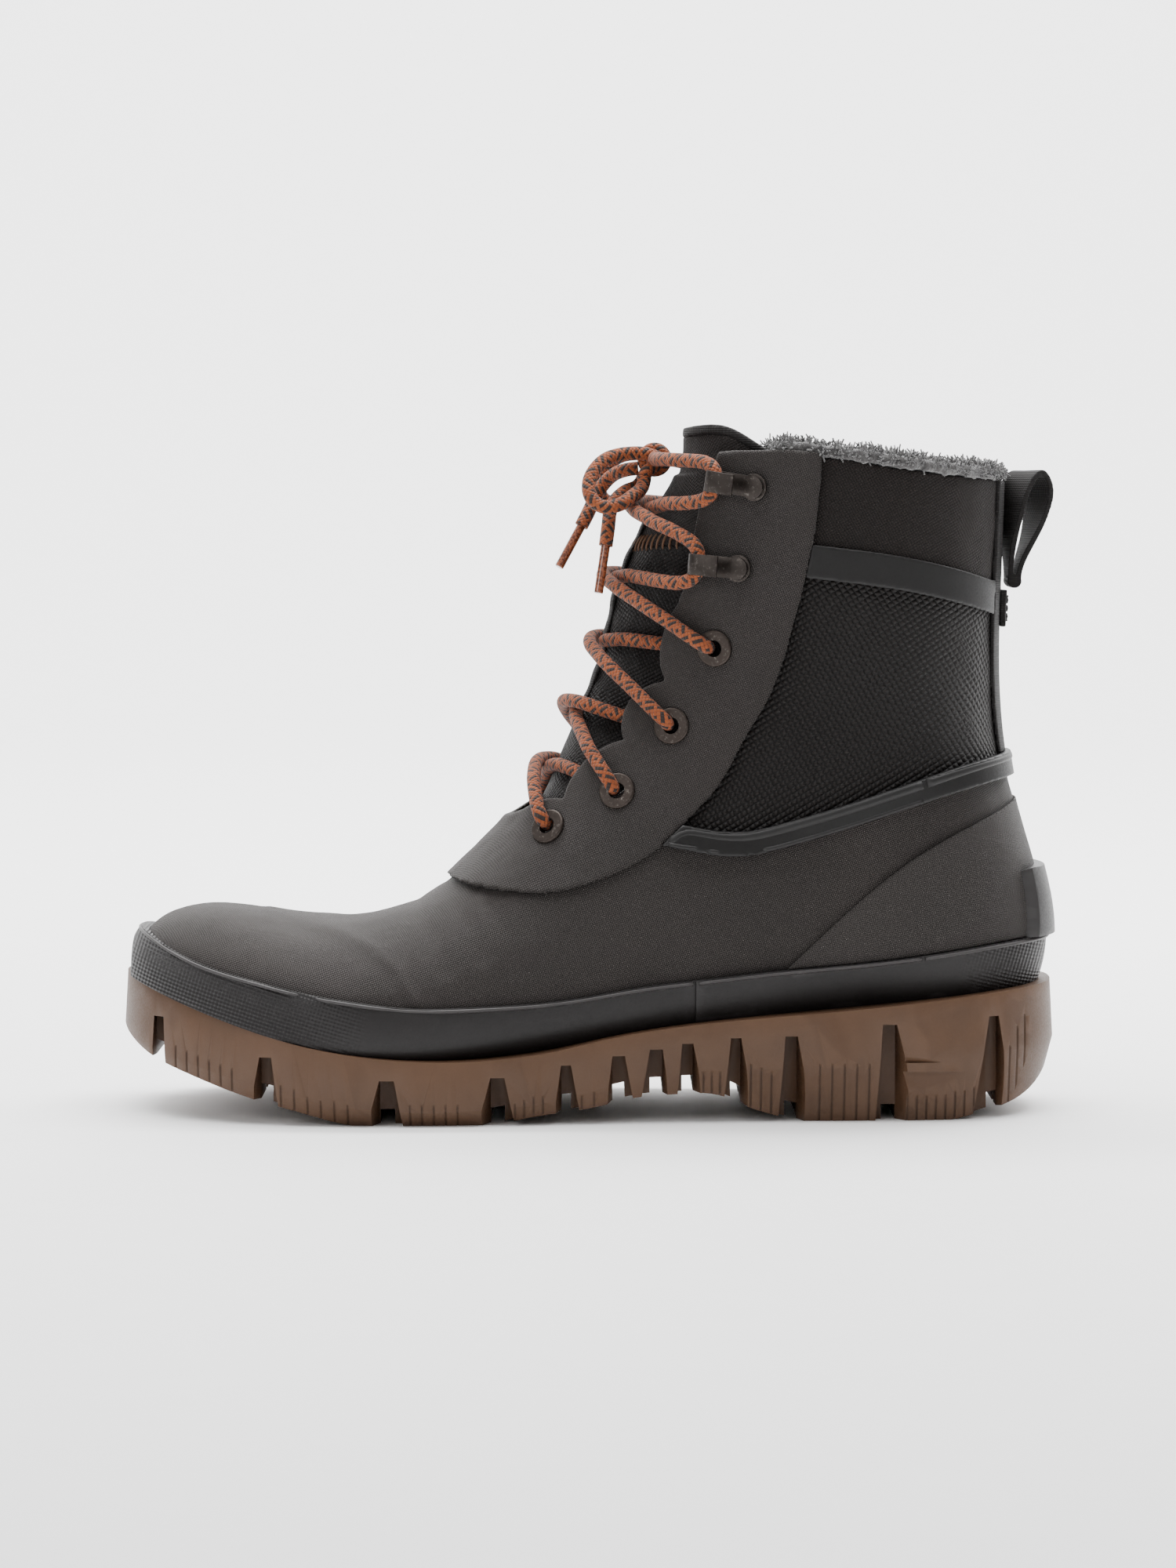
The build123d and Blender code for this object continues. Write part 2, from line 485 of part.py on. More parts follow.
HOOK_REACH = 12.0                 # from the rivet to the middle of the hook's mouth
HOOK_HALF_WIDTH = 3.4
MOUTH_RADIUS = 2.75
HOOK_WALL = 1.0
HOOK_CAP_LENGTH = 7.6
hook_frames = {}
for side, name in ((-1, "outer"), (1, "inner")):
    hooks, rivets = [], []
    for (rx, rz), (mx, mz) in zip(HOOK_RIVETS, HOOK_MOUTHS):
        forward = Vector(mx - rx, 0, mz - rz).normalized()
        rivet_point, _ = skin(OVERLAY, rx, rz, side)
        mouth_point, _ = skin(OVERLAY, mx, mz, side)
        middle = frame_at(OVERLAY, (rx + mx) / 2, (rz + mz) / 2, side, mouth_point - rivet_point)
        half = HOOK_REACH / 2
        lift = 0.35
        spot = middle.offset(lift)
        hook_frames[side, rx] = spot
        profile = [(-half, 0), (half + 1.0, 0), (half + 1.0, HOOK_WALL), (-half, HOOK_WALL)]
        plate = Solid.extrude(Face(Wire.make_polygon(
            [spot.from_local_coords(Vector(u, -HOOK_HALF_WIDTH, v)) for u, v in profile])),
            spot.y_dir * (2 * HOOK_HALF_WIDTH))
        bend_at = spot.from_local_coords(Vector(half + 0.2, -HOOK_HALF_WIDTH, HOOK_WALL + MOUTH_RADIUS))
        bend = Plane(bend_at, x_dir=spot.x_dir, z_dir=spot.y_dir)
        curl = (Solid.make_cylinder(MOUTH_RADIUS + HOOK_WALL, 2 * HOOK_HALF_WIDTH, bend)
                - Solid.make_cylinder(MOUTH_RADIUS, 2 * HOOK_HALF_WIDTH, bend))
        front_half = Solid.make_box(20, 20, 20, Plane(
            spot.from_local_coords(Vector(half + 0.2, -10, -8)), x_dir=spot.x_dir, z_dir=spot.z_dir))
        curl = curl & front_half
        cap_low = HOOK_WALL + 2 * MOUTH_RADIUS
        cap = Solid.make_box(HOOK_CAP_LENGTH, 2 * HOOK_HALF_WIDTH, HOOK_WALL, Plane(
            spot.from_local_coords(Vector(half + 0.25 - HOOK_CAP_LENGTH, -HOOK_HALF_WIDTH, cap_low)),
            x_dir=spot.x_dir, z_dir=spot.z_dir))
        seat = Plane(spot.from_local_coords(Vector(-half, 0, 0)), x_dir=spot.x_dir, z_dir=spot.z_dir)
        pad = disc(seat, HOOK_PLATE_RADIUS + 0.4, 0, HOOK_PLATE_THICKNESS)
        hook = plate + pad + curl + cap
        shank_hole = disc(seat, 1.6, -6, 3)
        hook = hook - shank_hole
        rivet = (disc(seat, RIVET_HEAD_RADIUS, HOOK_PLATE_THICKNESS, HOOK_PLATE_THICKNESS + 1.1)
                 + disc(seat, 1.55, -2.9, HOOK_PLATE_THICKNESS + 0.4) + disc(seat, 3.2, -2.9, -2.25))
        hooks.append(biggest(hook))
        rivets.append(rivet)
        eyestay = eyestay - hook - shank_hole
    write("lace_hooks_" + name, Compound(hooks))
    write("hook_rivets_" + name, Compound(rivets))
write("eyestay", eyestay)

# ---------------------------------------------------------------- lace
LACE_RADIUS = LACE_DIAMETER / 2
OVER_FLANGE = EYELET_FLANGE_HEIGHT + LACE_RADIUS + LACE_GAP + OVERLAY
UNDER_FLAP = -LACE_RADIUS - 0.35
# the points inside the boot that the lace's crossings are measured from, one for each row
ROW_CENTRES = [(25, 45), (45, 75), (65, 108), (75, 140), (82, 170), (86, 196)]
ROWS = EYELETS + HOOK_MOUTHS


def row_direction(row):
    """The forward angle in the side view and the sideways angle of a row's eyelet."""
    (cx, cz), (x, z) = ROW_CENTRES[row], ROWS[row]
    y = abs(skin(SHELL, x, z, -1)[0].Y)
    forward = math.hypot(x - cx, z - cz)
    return math.degrees(math.atan2(z - cz, x - cx)), math.degrees(math.atan2(y, forward))


DIRECTIONS = [row_direction(row) for row in range(len(ROWS))]


def on_row(row, turn, height):
    """A point at a height over the shell, at a turn from -1 (outer eyelet) to 1 (inner eyelet).

    The row may lie between two rows: 1.5 is half way from row 1 to row 2.
    """
    low = min(int(row), len(ROWS) - 2)
    part = row - low
    cx, cz = [a + (b - a) * part for a, b in zip(ROW_CENTRES[low], ROW_CENTRES[low + 1])]
    tilt, swing = [a + (b - a) * part for a, b in zip(DIRECTIONS[low], DIRECTIONS[low + 1])]
    tilt, swing = math.radians(tilt), math.radians(swing * turn)
    ray = Vector(math.cos(tilt) * math.cos(swing), math.sin(swing), math.sin(tilt) * math.cos(swing))
    centre = Vector(cx, 0, cz)
    hits = level[SHELL].find_intersection_points(Axis(centre, ray))
    point, normal = max(hits, key=lambda hit: (hit[0] - centre).dot(ray))
    if normal.dot(ray) < 0:
        normal = -normal
    return point + normal * height


def rounded(points, largest, share=0.45):
    """A path of straight runs and tangent arcs, with the arcs' radii."""
    radii = []
    for before, corner, after in zip(points, points[1:], points[2:]):
        run = min((corner - before).length, (after - corner).length)
        half_turn = math.radians((corner - before).get_angle(after - corner)) / 2
        radii.append(min(largest, share * run / math.tan(half_turn)))
    return FilletPolyline(*points, radius=radii), radii


def cord(name, points, diameter=LACE_DIAMETER, largest=60.0):
    """A round cord along a list of points, written as one node."""
    path, radii = rounded(points, largest)
    section = Face(Wire.make_circle(diameter / 2, Plane(path @ 0, z_dir=path % 0)))
    tube = Solid.sweep(section.outer_wire(), path=path.wire())
    area = math.pi * diameter ** 2 / 4
    print(name, "length", round(path.length, 1), "volume / section x length",
          round(tube.volume / area / path.length, 4), "radii", [round(r, 1) for r in radii])
    write(name, tube)
    return path


def eyelet_points(row, side):
    """Down through an eyelet: above its flange, then under the flap."""
    x, z = EYELETS[row]
    point, normal = skin(SHELL, x, z, side)
    return [point + normal * OVER_FLANGE, point + normal * UNDER_FLAP]


def crossing(row, side, over):
    """From an eyelet's outside at one side to beneath the flap at the other side, one row up."""
    if over:
        heights = [(0.17, 4.7), (0.34, 3.3), (0.5, 2.0), (0.64, 0.4), (0.8, UNDER_FLAP)]
    else:
        heights = [(0.16, 4.5), (0.32, -0.6), (0.5, -2.75), (0.66, -2.75), (0.82, UNDER_FLAP)]
    return [on_row(row + t, side * (1 - 2 * t), h) for t, h in heights]




def hook_points(side, rivet_x):
    """Round the back of a hook's neck, from below to above."""
    spot = hook_frames[side, rivet_x]
    up = spot.y_dir if spot.y_dir.Z > 0 else -spot.y_dir
    middle = spot.from_local_coords(Vector(HOOK_REACH / 2 - 0.3, 0, HOOK_WALL + MOUTH_RADIUS))
    rise = HOOK_HALF_WIDTH + LACE_RADIUS + 0.6
    return [middle - up * rise, middle + up * rise]


KNOT = Vector(22.0, 0, 214.5)
KNOT_HALF_LENGTH = 8.0


def half_lace(side):
    """From under the lowest eyelet at one side up to the knot, crossing over row by row."""
    points = []
    at_side = side
    for row in range(4):
        over, under = eyelet_points(row, at_side)
        points += [under, over]
        if row < 3:
            points += crossing(row, at_side, over=(side < 0))
            at_side = -at_side
    heights = [4.7, 3.4, 2.0, 3.0, 4.8] if side > 0 else [4.5, -0.8, -2.7, -0.8, 4.6]
    turns = [(0.16, 0.68), (0.32, 0.34), (0.46, 0.0), (0.58, -0.34), (0.66, -0.72)]
    points += [on_row(3 + r, at_side * t, h) for (r, t), h in zip(turns, heights)]
    at_side = -at_side
    points += hook_points(at_side, HOOK_RIVETS[0][0])
    heights = [5.0, 3.4, 2.1, 3.4, 5.0] if side < 0 else [5.0, -0.8, -2.6, -0.8, 5.0]
    turns = [(0.31, 0.66), (0.38, 0.34), (0.46, 0.0), (0.54, -0.34), (0.61, -0.68)]
    points += [on_row(4 + r, at_side * t, h) for (r, t), h in zip(turns, heights)]
    at_side = -at_side
    points += hook_points(at_side, HOOK_RIVETS[1][0])
    points += [Vector(24.8, at_side * 21, 214.5), Vector(KNOT.X, at_side * KNOT_HALF_LENGTH, KNOT.Z)]
    return points


bar = [on_row(0, t, UNDER_FLAP - 0.3) for t in (-0.5, 0.0, 0.5)]
lace_points = half_lace(-1)[::-1] + bar + half_lace(1)
cord("lace", lace_points, largest=14.0)

KNOT_HALF_HEIGHT = 5.5
knot_corner = KNOT - Vector(KNOT_HALF_HEIGHT, KNOT_HALF_LENGTH, KNOT_HALF_HEIGHT)
knot = Solid.make_box(2 * KNOT_HALF_HEIGHT, 2 * KNOT_HALF_LENGTH, 2 * KNOT_HALF_HEIGHT,
                      Plane(knot_corner))
write("lace_knot", fillet(knot.edges(), 1.6))

# the bow: two loops that leave the knot's front and come back up into its underside
OUTER_LOOP = [(16.5, -4.8, 216.6), (11.8, -4.8, 216.6), (5.0, -8.5, 214.6), (0.2, -13.0, 208.6),
              (0.2, -16.2, 202.2), (4.6, -17.6, 198.4), (10.6, -16.6, 199.4), (15.0, -12.6, 202.8),
              (18.4, -6.2, 205.2), (18.6, -5.6, 209.0)]
INNER_LOOP = [(16.5, 4.8, 216.6), (12.4, 4.8, 216.6), (7.0, 9.5, 213.8), (3.4, 14.6, 207.8),
              (4.2, 18.0, 201.8), (8.6, 18.2, 199.8), (12.8, 14.4, 203.0), (17.0, 6.8, 205.8),
              (18.6, 5.6, 209.0)]
OUTER_TAIL = [(18.6, 1.6, 209.0), (17.6, 1.2, 205.8), (11.4, -2.8, 204.0), (7.2, -8.8, 198.8),
              (6.6, -13.4, 191.4), (5.8, -14.4, 186.2)]
INNER_TAIL = [(16.5, -1.6, 211.6), (12.6, -1.4, 211.4), (7.4, 4.0, 209.2), (2.8, 5.4, 203.4),
              (0.4, 2.4, 197.4), (-2.2, 1.0, 192.6)]
AGLET_LENGTH = 16.0
AGLET_RADIUS = 1.5
cord("bow_loop_outer", [Vector(*p) for p in OUTER_LOOP])
cord("bow_loop_inner", [Vector(*p) for p in INNER_LOOP])
for name, route in (("outer", OUTER_TAIL), ("inner", INNER_TAIL)):
    path = cord("lace_tail_" + name, [Vector(*p) for p in route])
    tip = Plane(path @ 1, z_dir=path % 1)
    aglet = Solid.make_cylinder(AGLET_RADIUS, AGLET_LENGTH, tip)
    write("aglet_" + name, fillet(aglet.edges().sort_by_distance(path @ 1)[-1:], 0.4))

# ---------------------------------------------------------------- pull loop at the back
WEBBING_WIDTH = 17.0
WEBBING_HALF_THICKNESS = 0.9
LOOP_HINGE = (140.6, 174.5)       # (x, z) of the line that the loop swings about
LOOP_ROOT_RADIUS = 2.3
LOOP_LINE = [(139.3, 175.5), (139.2, 186), (139.7, 197.5), (141.7, 206.6), (145.6, 210.2),
             (149.0, 206.6), (149.3, 199.6), (146.0, 188.8), (143.0, 181.0), (141.9, 175.5)]


def ribbon(points, half):
    """The side-view outline of a strip whose middle runs along the points."""
    left, right = [], []
    middle = spline(points)
    for k in range(21):
        centre, along = middle @ (k / 20), middle % (k / 20)
        out = Vector(-along.Z, 0, along.X) * half
        left.append(centre + out)
        right.append(centre - out)
    ends = [Edge.make_line(left[-1], right[-1]), Edge.make_line(right[0], left[0])]
    return Wire([Edge.make_spline(left), ends[0], Edge.make_spline(right[::-1]), ends[1]])


def webbing(wire):
    face = Face(wire).moved(Location((0, -WEBBING_WIDTH / 2, 0)))
    return Solid.extrude(face, Vector(0, WEBBING_WIDTH, 0))


root_x, root_z = LOOP_HINGE
loop_axis = Plane((root_x, -WEBBING_WIDTH / 2, root_z), z_dir=(0, 1, 0))
loop_root = Solid.make_cylinder(LOOP_ROOT_RADIUS, WEBBING_WIDTH, loop_axis)
write("pull_loop", webbing(ribbon(LOOP_LINE, WEBBING_HALF_THICKNESS)) + loop_root)
anchor_zone = slab(120, 160, -WEBBING_WIDTH / 2, WEBBING_WIDTH / 2, 159.5, 171.5)
write("loop_anchor", layer(TRIM, STRIPE, anchor_zone))
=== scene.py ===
"""Looks of the insulated boot: cloth, rubber, metal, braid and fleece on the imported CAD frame.

Everything is in metres in the row frame: +Z up, -X to the toe, -Y to the outer side of the foot.
"""
import json
import math
import heapq
import random

import bmesh
import bpy
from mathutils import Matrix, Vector, noise
from mathutils.bvhtree import BVHTree


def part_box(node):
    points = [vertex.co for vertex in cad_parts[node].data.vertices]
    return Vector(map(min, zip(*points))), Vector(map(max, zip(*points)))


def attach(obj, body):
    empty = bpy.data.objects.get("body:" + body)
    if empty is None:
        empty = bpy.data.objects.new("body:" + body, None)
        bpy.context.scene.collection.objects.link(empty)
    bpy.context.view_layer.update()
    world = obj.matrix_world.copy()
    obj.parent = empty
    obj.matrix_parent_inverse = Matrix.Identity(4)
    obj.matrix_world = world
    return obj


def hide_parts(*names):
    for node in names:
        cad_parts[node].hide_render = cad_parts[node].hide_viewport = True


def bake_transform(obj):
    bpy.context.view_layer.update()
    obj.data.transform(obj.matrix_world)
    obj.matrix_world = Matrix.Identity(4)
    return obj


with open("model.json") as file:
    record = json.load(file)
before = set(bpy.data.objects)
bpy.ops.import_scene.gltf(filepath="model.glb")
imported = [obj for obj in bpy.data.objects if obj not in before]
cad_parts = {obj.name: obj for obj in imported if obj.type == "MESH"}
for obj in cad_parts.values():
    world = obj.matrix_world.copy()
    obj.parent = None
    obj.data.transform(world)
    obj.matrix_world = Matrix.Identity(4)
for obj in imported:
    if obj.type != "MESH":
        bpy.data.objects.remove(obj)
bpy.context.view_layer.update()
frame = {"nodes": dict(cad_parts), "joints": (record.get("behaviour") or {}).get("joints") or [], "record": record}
NODES = frame["nodes"]
MM = 0.001
rng = random.Random(7)


# ---------------------------------------------------------------- camera and lights
CAMERA_DISTANCE = 1.50
CAMERA_HEIGHT = 0.200
AIM_HEIGHT = 0.107
SENSOR_WIDTH = 36              # in mm
VIEW_HEIGHT = 0.520            # what the frame's long side takes in at the boot's middle
ROOM_LIGHT = 0.5

# name: place, target, size, power in watts
LIGHTS = {"top": ((0.0, 0.05, 1.30), (0, 0, 0.05), (1.5, 1.2), 42),
          "front": ((-0.9, -1.1, 0.75), (0, 0, 0.10), (0.6, 0.6), 5),
          "rim": ((0.85, 0.65, 0.75), (0.05, 0, 0.12), (0.6, 0.8), 8),
          "wall": ((0.0, 1.0, 2.6), (0, 3.4, 0.9), (5.0, 1.6), 420)}


def look_at(obj, target):
    """Turns a camera or a light towards a point."""
    direction = Vector(target) - obj.location
    obj.rotation_euler = direction.to_track_quat("-Z", "Y").to_euler()


def add_camera():
    data = bpy.data.cameras.new("camera")
    data.sensor_width = SENSOR_WIDTH
    data.lens = SENSOR_WIDTH * CAMERA_DISTANCE / VIEW_HEIGHT
    camera = bpy.data.objects.new("camera", data)
    bpy.context.collection.objects.link(camera)
    camera.location = (0.0, -CAMERA_DISTANCE, CAMERA_HEIGHT)
    look_at(camera, (0.0, 0.0, AIM_HEIGHT))
    bpy.context.scene.camera = camera


def add_light(name, place, target, size, power):
    data = bpy.data.lights.new(name, "AREA")
    data.shape = "RECTANGLE"
    data.size, data.size_y = size
    data.energy = power
    light = bpy.data.objects.new(name, data)
    bpy.context.collection.objects.link(light)
    light.location = place
    look_at(light, target)


def add_backdrop():
    """A floor that curves up into a wall behind the object."""
    near, far, radius, top, half = -6.0, 2.2, 1.4, 7.0, 7.0
    profile = [(near, 0.0), (far, 0.0)]
    profile += [(far + radius * math.sin(a), radius * (1 - math.cos(a)))
                for a in (math.pi / 2 * k / 16 for k in range(1, 17))]
    profile.append((far + radius, top))
    verts = [(x, y, z) for y, z in profile for x in (-half, half)]
    faces = [(2 * k, 2 * k + 1, 2 * k + 3, 2 * k + 2) for k in range(len(profile) - 1)]
    mesh = bpy.data.meshes.new("backdrop")
    mesh.from_pydata(verts, [], faces)
    for face in mesh.polygons:
        face.use_smooth = True
    backdrop = bpy.data.objects.new("backdrop", mesh)
    bpy.context.collection.objects.link(backdrop)
    mesh.materials.append(plain_material("backdrop", (0.93, 0.93, 0.93), 0.7))


def add_studio():
    add_backdrop()
    world = bpy.data.worlds.new("studio")
    world.use_nodes = True
    background = world.node_tree.nodes["Background"]
    background.inputs["Color"].default_value = (1, 1, 1, 1)
    background.inputs["Strength"].default_value = ROOM_LIGHT
    bpy.context.scene.world = world
    for name, (place, target, size, power) in LIGHTS.items():
        add_light(name, place, target, size, power)


# ---------------------------------------------------------------- materials
class Nodes:
    """Builds one material's node tree with short calls."""

    def __init__(self, name):
        self.material = bpy.data.materials.new(name)
        self.material.use_nodes = True
        self.tree = self.material.node_tree
        self.shader = self.tree.nodes["Principled BSDF"]

    def add(self, kind, **inputs):
        node = self.tree.nodes.new(kind)
        for key, value in inputs.items():
            if hasattr(node, key):
                setattr(node, key, value)
            else:
                self.link(node.inputs[key.replace("_", " ")], value)
        return node

    def link(self, socket, value):
        if isinstance(value, bpy.types.NodeSocket):
            self.tree.links.new(value, socket)
        elif isinstance(value, tuple) and len(value) == 3 and socket.type == "RGBA":
            socket.default_value = (*value, 1)
        else:
            socket.default_value = value

    def math(self, operation, a, b=None, c=None, clamp=False):
        node = self.tree.nodes.new("ShaderNodeMath")
        node.operation, node.use_clamp = operation, clamp
        for socket, value in zip(node.inputs, (a, b, c)):
            if value is not None:
                self.link(socket, value)
        return node.outputs[0]

    def mix(self, factor, a, b):
        node = self.tree.nodes.new("ShaderNodeMix")
        node.data_type = "RGBA"
        self.link(node.inputs[0], factor)
        self.link(node.inputs[6], a)
        self.link(node.inputs[7], b)
        return node.outputs[2]

    def spread(self, value, low, high, to_low, to_high):
        node = self.tree.nodes.new("ShaderNodeMapRange")
        for socket, item in zip(node.inputs, (value, low, high, to_low, to_high)):
            self.link(socket, item)
        return node.outputs[0]

    def place(self):
        """Object-space position in millimetres, and the surface normal, both as separate axes."""
        point = self.add("ShaderNodeTexCoord").outputs["Object"]
        scaled = self.tree.nodes.new("ShaderNodeVectorMath")
        scaled.operation = "SCALE"
        self.link(scaled.inputs[0], point)
        scaled.inputs["Scale"].default_value = 1000
        normal = self.add("ShaderNodeTexCoord").outputs["Normal"]
        split_point = self.add("ShaderNodeSeparateXYZ", Vector=scaled.outputs[0])
        split_normal = self.add("ShaderNodeSeparateXYZ", Vector=normal)
        return scaled.outputs[0], split_point.outputs, split_normal.outputs

    def noise(self, vector, scale, detail=3.0, roughness=0.55):
        node = self.add("ShaderNodeTexNoise", Vector=vector, Scale=scale, Detail=detail)
        node.inputs["Roughness"].default_value = roughness
        return node.outputs["Fac"]

    def bump(self, height, strength, distance, normal=None):
        node = self.tree.nodes.new("ShaderNodeBump")
        node.inputs["Strength"].default_value = strength
        node.inputs["Distance"].default_value = distance
        self.link(node.inputs["Height"], height)
        if normal is not None:
            self.link(node.inputs["Normal"], normal)
        return node.outputs[0]

    def finish(self, colour, roughness, normal=None, **settings):
        self.link(self.shader.inputs["Base Color"], colour)
        self.link(self.shader.inputs["Roughness"], roughness)
        if normal is not None:
            self.link(self.shader.inputs["Normal"], normal)
        for key, value in settings.items():
            self.link(self.shader.inputs[key.replace("_", " ")], value)
        return self.material


def shaded(colour, factor, lift=0.0):
    """A colour made darker or lighter by a factor, never brighter than white."""
    return tuple(min(1, c * factor + lift) for c in colour)


def plain_material(name, colour, roughness):
    """A nearly even paint for the backdrop."""
    n = Nodes(name)
    point, _, _ = n.place()
    tint = n.mix(n.noise(point, 0.05), shaded(colour, 0.97), colour)
    return n.finish(tint, roughness)


def weave_at(n, u, v, period, long_power):
    """Height of a plain weave and which of its two threads is on top."""
    a = n.math("SINE", n.math("MULTIPLY", u, math.pi / period))
    b = n.math("SINE", n.math("MULTIPLY", v, math.pi / period))
    top = n.math("GREATER_THAN", n.math("MULTIPLY", a, b), 0.0)
    a, b = n.math("ABSOLUTE", a), n.math("ABSOLUTE", b)
    warp = n.math("MULTIPLY", n.math("POWER", a, 0.85), n.math("POWER", b, long_power))
    weft = n.math("MULTIPLY", n.math("POWER", a, long_power), n.math("POWER", b, 0.85))
    height = n.math("ADD", n.math("MULTIPLY", warp, top),
                    n.math("MULTIPLY", weft, n.math("SUBTRACT", 1.0, top)))
    return height, top


RIB_PERIOD = 0.75              # mm along the webbing
CELL_PERIOD = 0.75 * 1.3       # mm across the webbing
KNURL_PERIOD = 0.85            # mm
KNURL_ANGLE = 0.5              # radians


def turned(n, a, b, angle):
    """Two coordinates turned by an angle."""
    c, s = math.cos(angle), math.sin(angle)
    return (n.math("ADD", n.math("MULTIPLY", a, c), n.math("MULTIPLY", b, s)),
            n.math("SUBTRACT", n.math("MULTIPLY", b, c), n.math("MULTIPLY", a, s)))


def woven(name, colour, thread, period, angle=0.3, depth=0.25, roughness=0.75, long_power=0.4,
          sheen=0.05, wobble=0.12, spot=0.0):
    """A plain weave laid on a shape from its side, its front and its top, blended where they meet, with painted
    shade in the sunken gaps between its threads.
    """
    n = Nodes(name)
    point, p, normal = n.place()
    wave = n.math("MULTIPLY", n.math("SUBTRACT", n.noise(point, 0.35), 0.5), wobble * period * 8)
    px, py, pz = [n.math("ADD", p[i], wave) for i in range(3)]
    shares = [n.math("POWER", n.math("ABSOLUTE", normal[i]), 6.0) for i in range(3)]
    total = n.math("ADD", n.math("ADD", shares[0], shares[1]), shares[2])
    height, top = 0.0, 0.0
    for share, (a, b) in zip(shares, ((py, pz), (px, pz), (px, py))):
        u, v = turned(n, a, b, angle)
        h, t = weave_at(n, u, v, period, long_power)
        part = n.math("DIVIDE", share, total)
        height = n.math("ADD", height, n.math("MULTIPLY", h, part))
        top = n.math("ADD", top, n.math("MULTIPLY", t, part))
    patches = n.spread(n.noise(point, 0.02, 4), 0.35, 0.65, 0.90, 1.10)
    # painted shade: the sunken gaps between threads take the dark colour, the raised threads the thread colour
    base = n.mix(n.spread(height, 0.15, 0.9, 0, 1), colour, thread)
    base = n.mix(n.math("MULTIPLY", top, 0.18), base, shaded(thread, 0.7))
    if spot:
        speck = n.spread(n.noise(point, 0.9, 2), 0.62, 0.72, 0, spot)
        base = n.mix(speck, base, shaded(thread, 2.2))
    tint = n.add("ShaderNodeHueSaturation", Color=base, Value=patches).outputs[0]
    rough = n.spread(height, 0, 1, min(1, roughness + 0.15), roughness)
    bumped = n.bump(height, 1.0, depth * MM)
    return n.finish(tint, rough, bumped, Sheen_Weight=sheen, Sheen_Roughness=0.5,
                    Specular_IOR_Level=0.22)


def ribbed_webbing(name, colour):
    """Narrow webbing with a fine rib across its length, painted darker in its valleys as shade."""
    n = Nodes(name)
    point, p, _ = n.place()
    ribs = n.math("ABSOLUTE", n.math("SINE", n.math("MULTIPLY", p[2], math.pi / RIB_PERIOD)))
    cells = n.math("ABSOLUTE", n.math("SINE", n.math("MULTIPLY", p[1], math.pi / CELL_PERIOD)))
    height = n.math("MULTIPLY", n.math("POWER", ribs, 0.6), n.spread(cells, 0, 1, 0.6, 1))
    # painted shade: the valleys between the ribs take a darker copy of the webbing's colour
    tint = n.mix(height, shaded(colour, 0.45), colour)
    tint = n.mix(n.spread(n.noise(point, 0.5), 0.5, 0.8, 0, 0.3), tint, shaded(colour, 1.5))
    return n.finish(tint, 0.72, n.bump(height, 1.0, 0.2 * MM), Sheen_Weight=0.03,
                    Specular_IOR_Level=0.2)


def moulded(name, colour, roughness=0.55, grain=0.5, highlight_amount=0.2, knurl=0.0, knurl_zones=None):
    """Moulded rubber: a fine grain, soft stains, a painted highlight that lightens its sharp edges and, in places,
    a knurl.
    """
    n = Nodes(name)
    point, p, _ = n.place()
    fine = n.noise(point, 1.6, 4)
    stains = n.noise(point, 0.06, 5)
    edge = n.add("ShaderNodeNewGeometry").outputs["Pointiness"]
    # painted highlight: the sharp edges are lightened to a brighter copy of the rubber's colour
    edge_highlight_mask = n.math("MULTIPLY", n.spread(edge, 0.5, 0.56, 0, 1), highlight_amount)
    tint = n.mix(n.spread(stains, 0.3, 0.7, 0, 1), shaded(colour, 0.86), shaded(colour, 1.10))
    tint = n.mix(edge_highlight_mask, tint, shaded(colour, 1.9, 0.02))
    bumped = n.bump(fine, 0.5, grain * 0.1 * MM)
    if knurl:
        u, v = [n.math("SINE", n.math("MULTIPLY", c, math.pi / KNURL_PERIOD))
                for c in turned(n, p[0], p[2], KNURL_ANGLE)]
        cell = n.math("MULTIPLY", u, v)
        zone = n.math("ADD", n.spread(p[0], knurl_zones[0], knurl_zones[1], 1, 0),
                      n.spread(p[0], knurl_zones[2], knurl_zones[3], 0, 1), clamp=True)
        bumped = n.bump(n.math("MULTIPLY", cell, zone), 1.0, knurl * MM, bumped)
    rough = n.spread(fine, 0.3, 0.7, roughness - 0.08, roughness + 0.1)
    return n.finish(tint, rough, bumped, Specular_IOR_Level=0.28)


def coated_metal(name, colour, roughness=0.38):
    """Dark coated metal with the coating worn through at its edges."""
    n = Nodes(name)
    point, _, _ = n.place()
    edge = n.add("ShaderNodeNewGeometry").outputs["Pointiness"]
    scuffs = n.spread(n.noise(point, 0.9, 6, 0.7), 0.55, 0.75, 0, 1)
    bright = n.math("MULTIPLY", n.spread(edge, 0.5, 0.6, 0.05, 0.6), scuffs)
    tint = n.mix(bright, colour, (0.42, 0.38, 0.34))
    rough = n.spread(n.noise(point, 0.6, 4), 0.3, 0.7, roughness - 0.08, roughness + 0.12)
    return n.finish(tint, rough, n.bump(n.noise(point, 2.5, 3), 0.25, 0.05 * MM), Metallic=0.75)


STRANDS = 8.0                  # braid strands each way
BRAID_PITCH = 0.80             # strands that pass in each mm along the lace
FIRST_DARK = (0, 3, 5)         # the dark strands each way
SECOND_DARK = (2, 6)


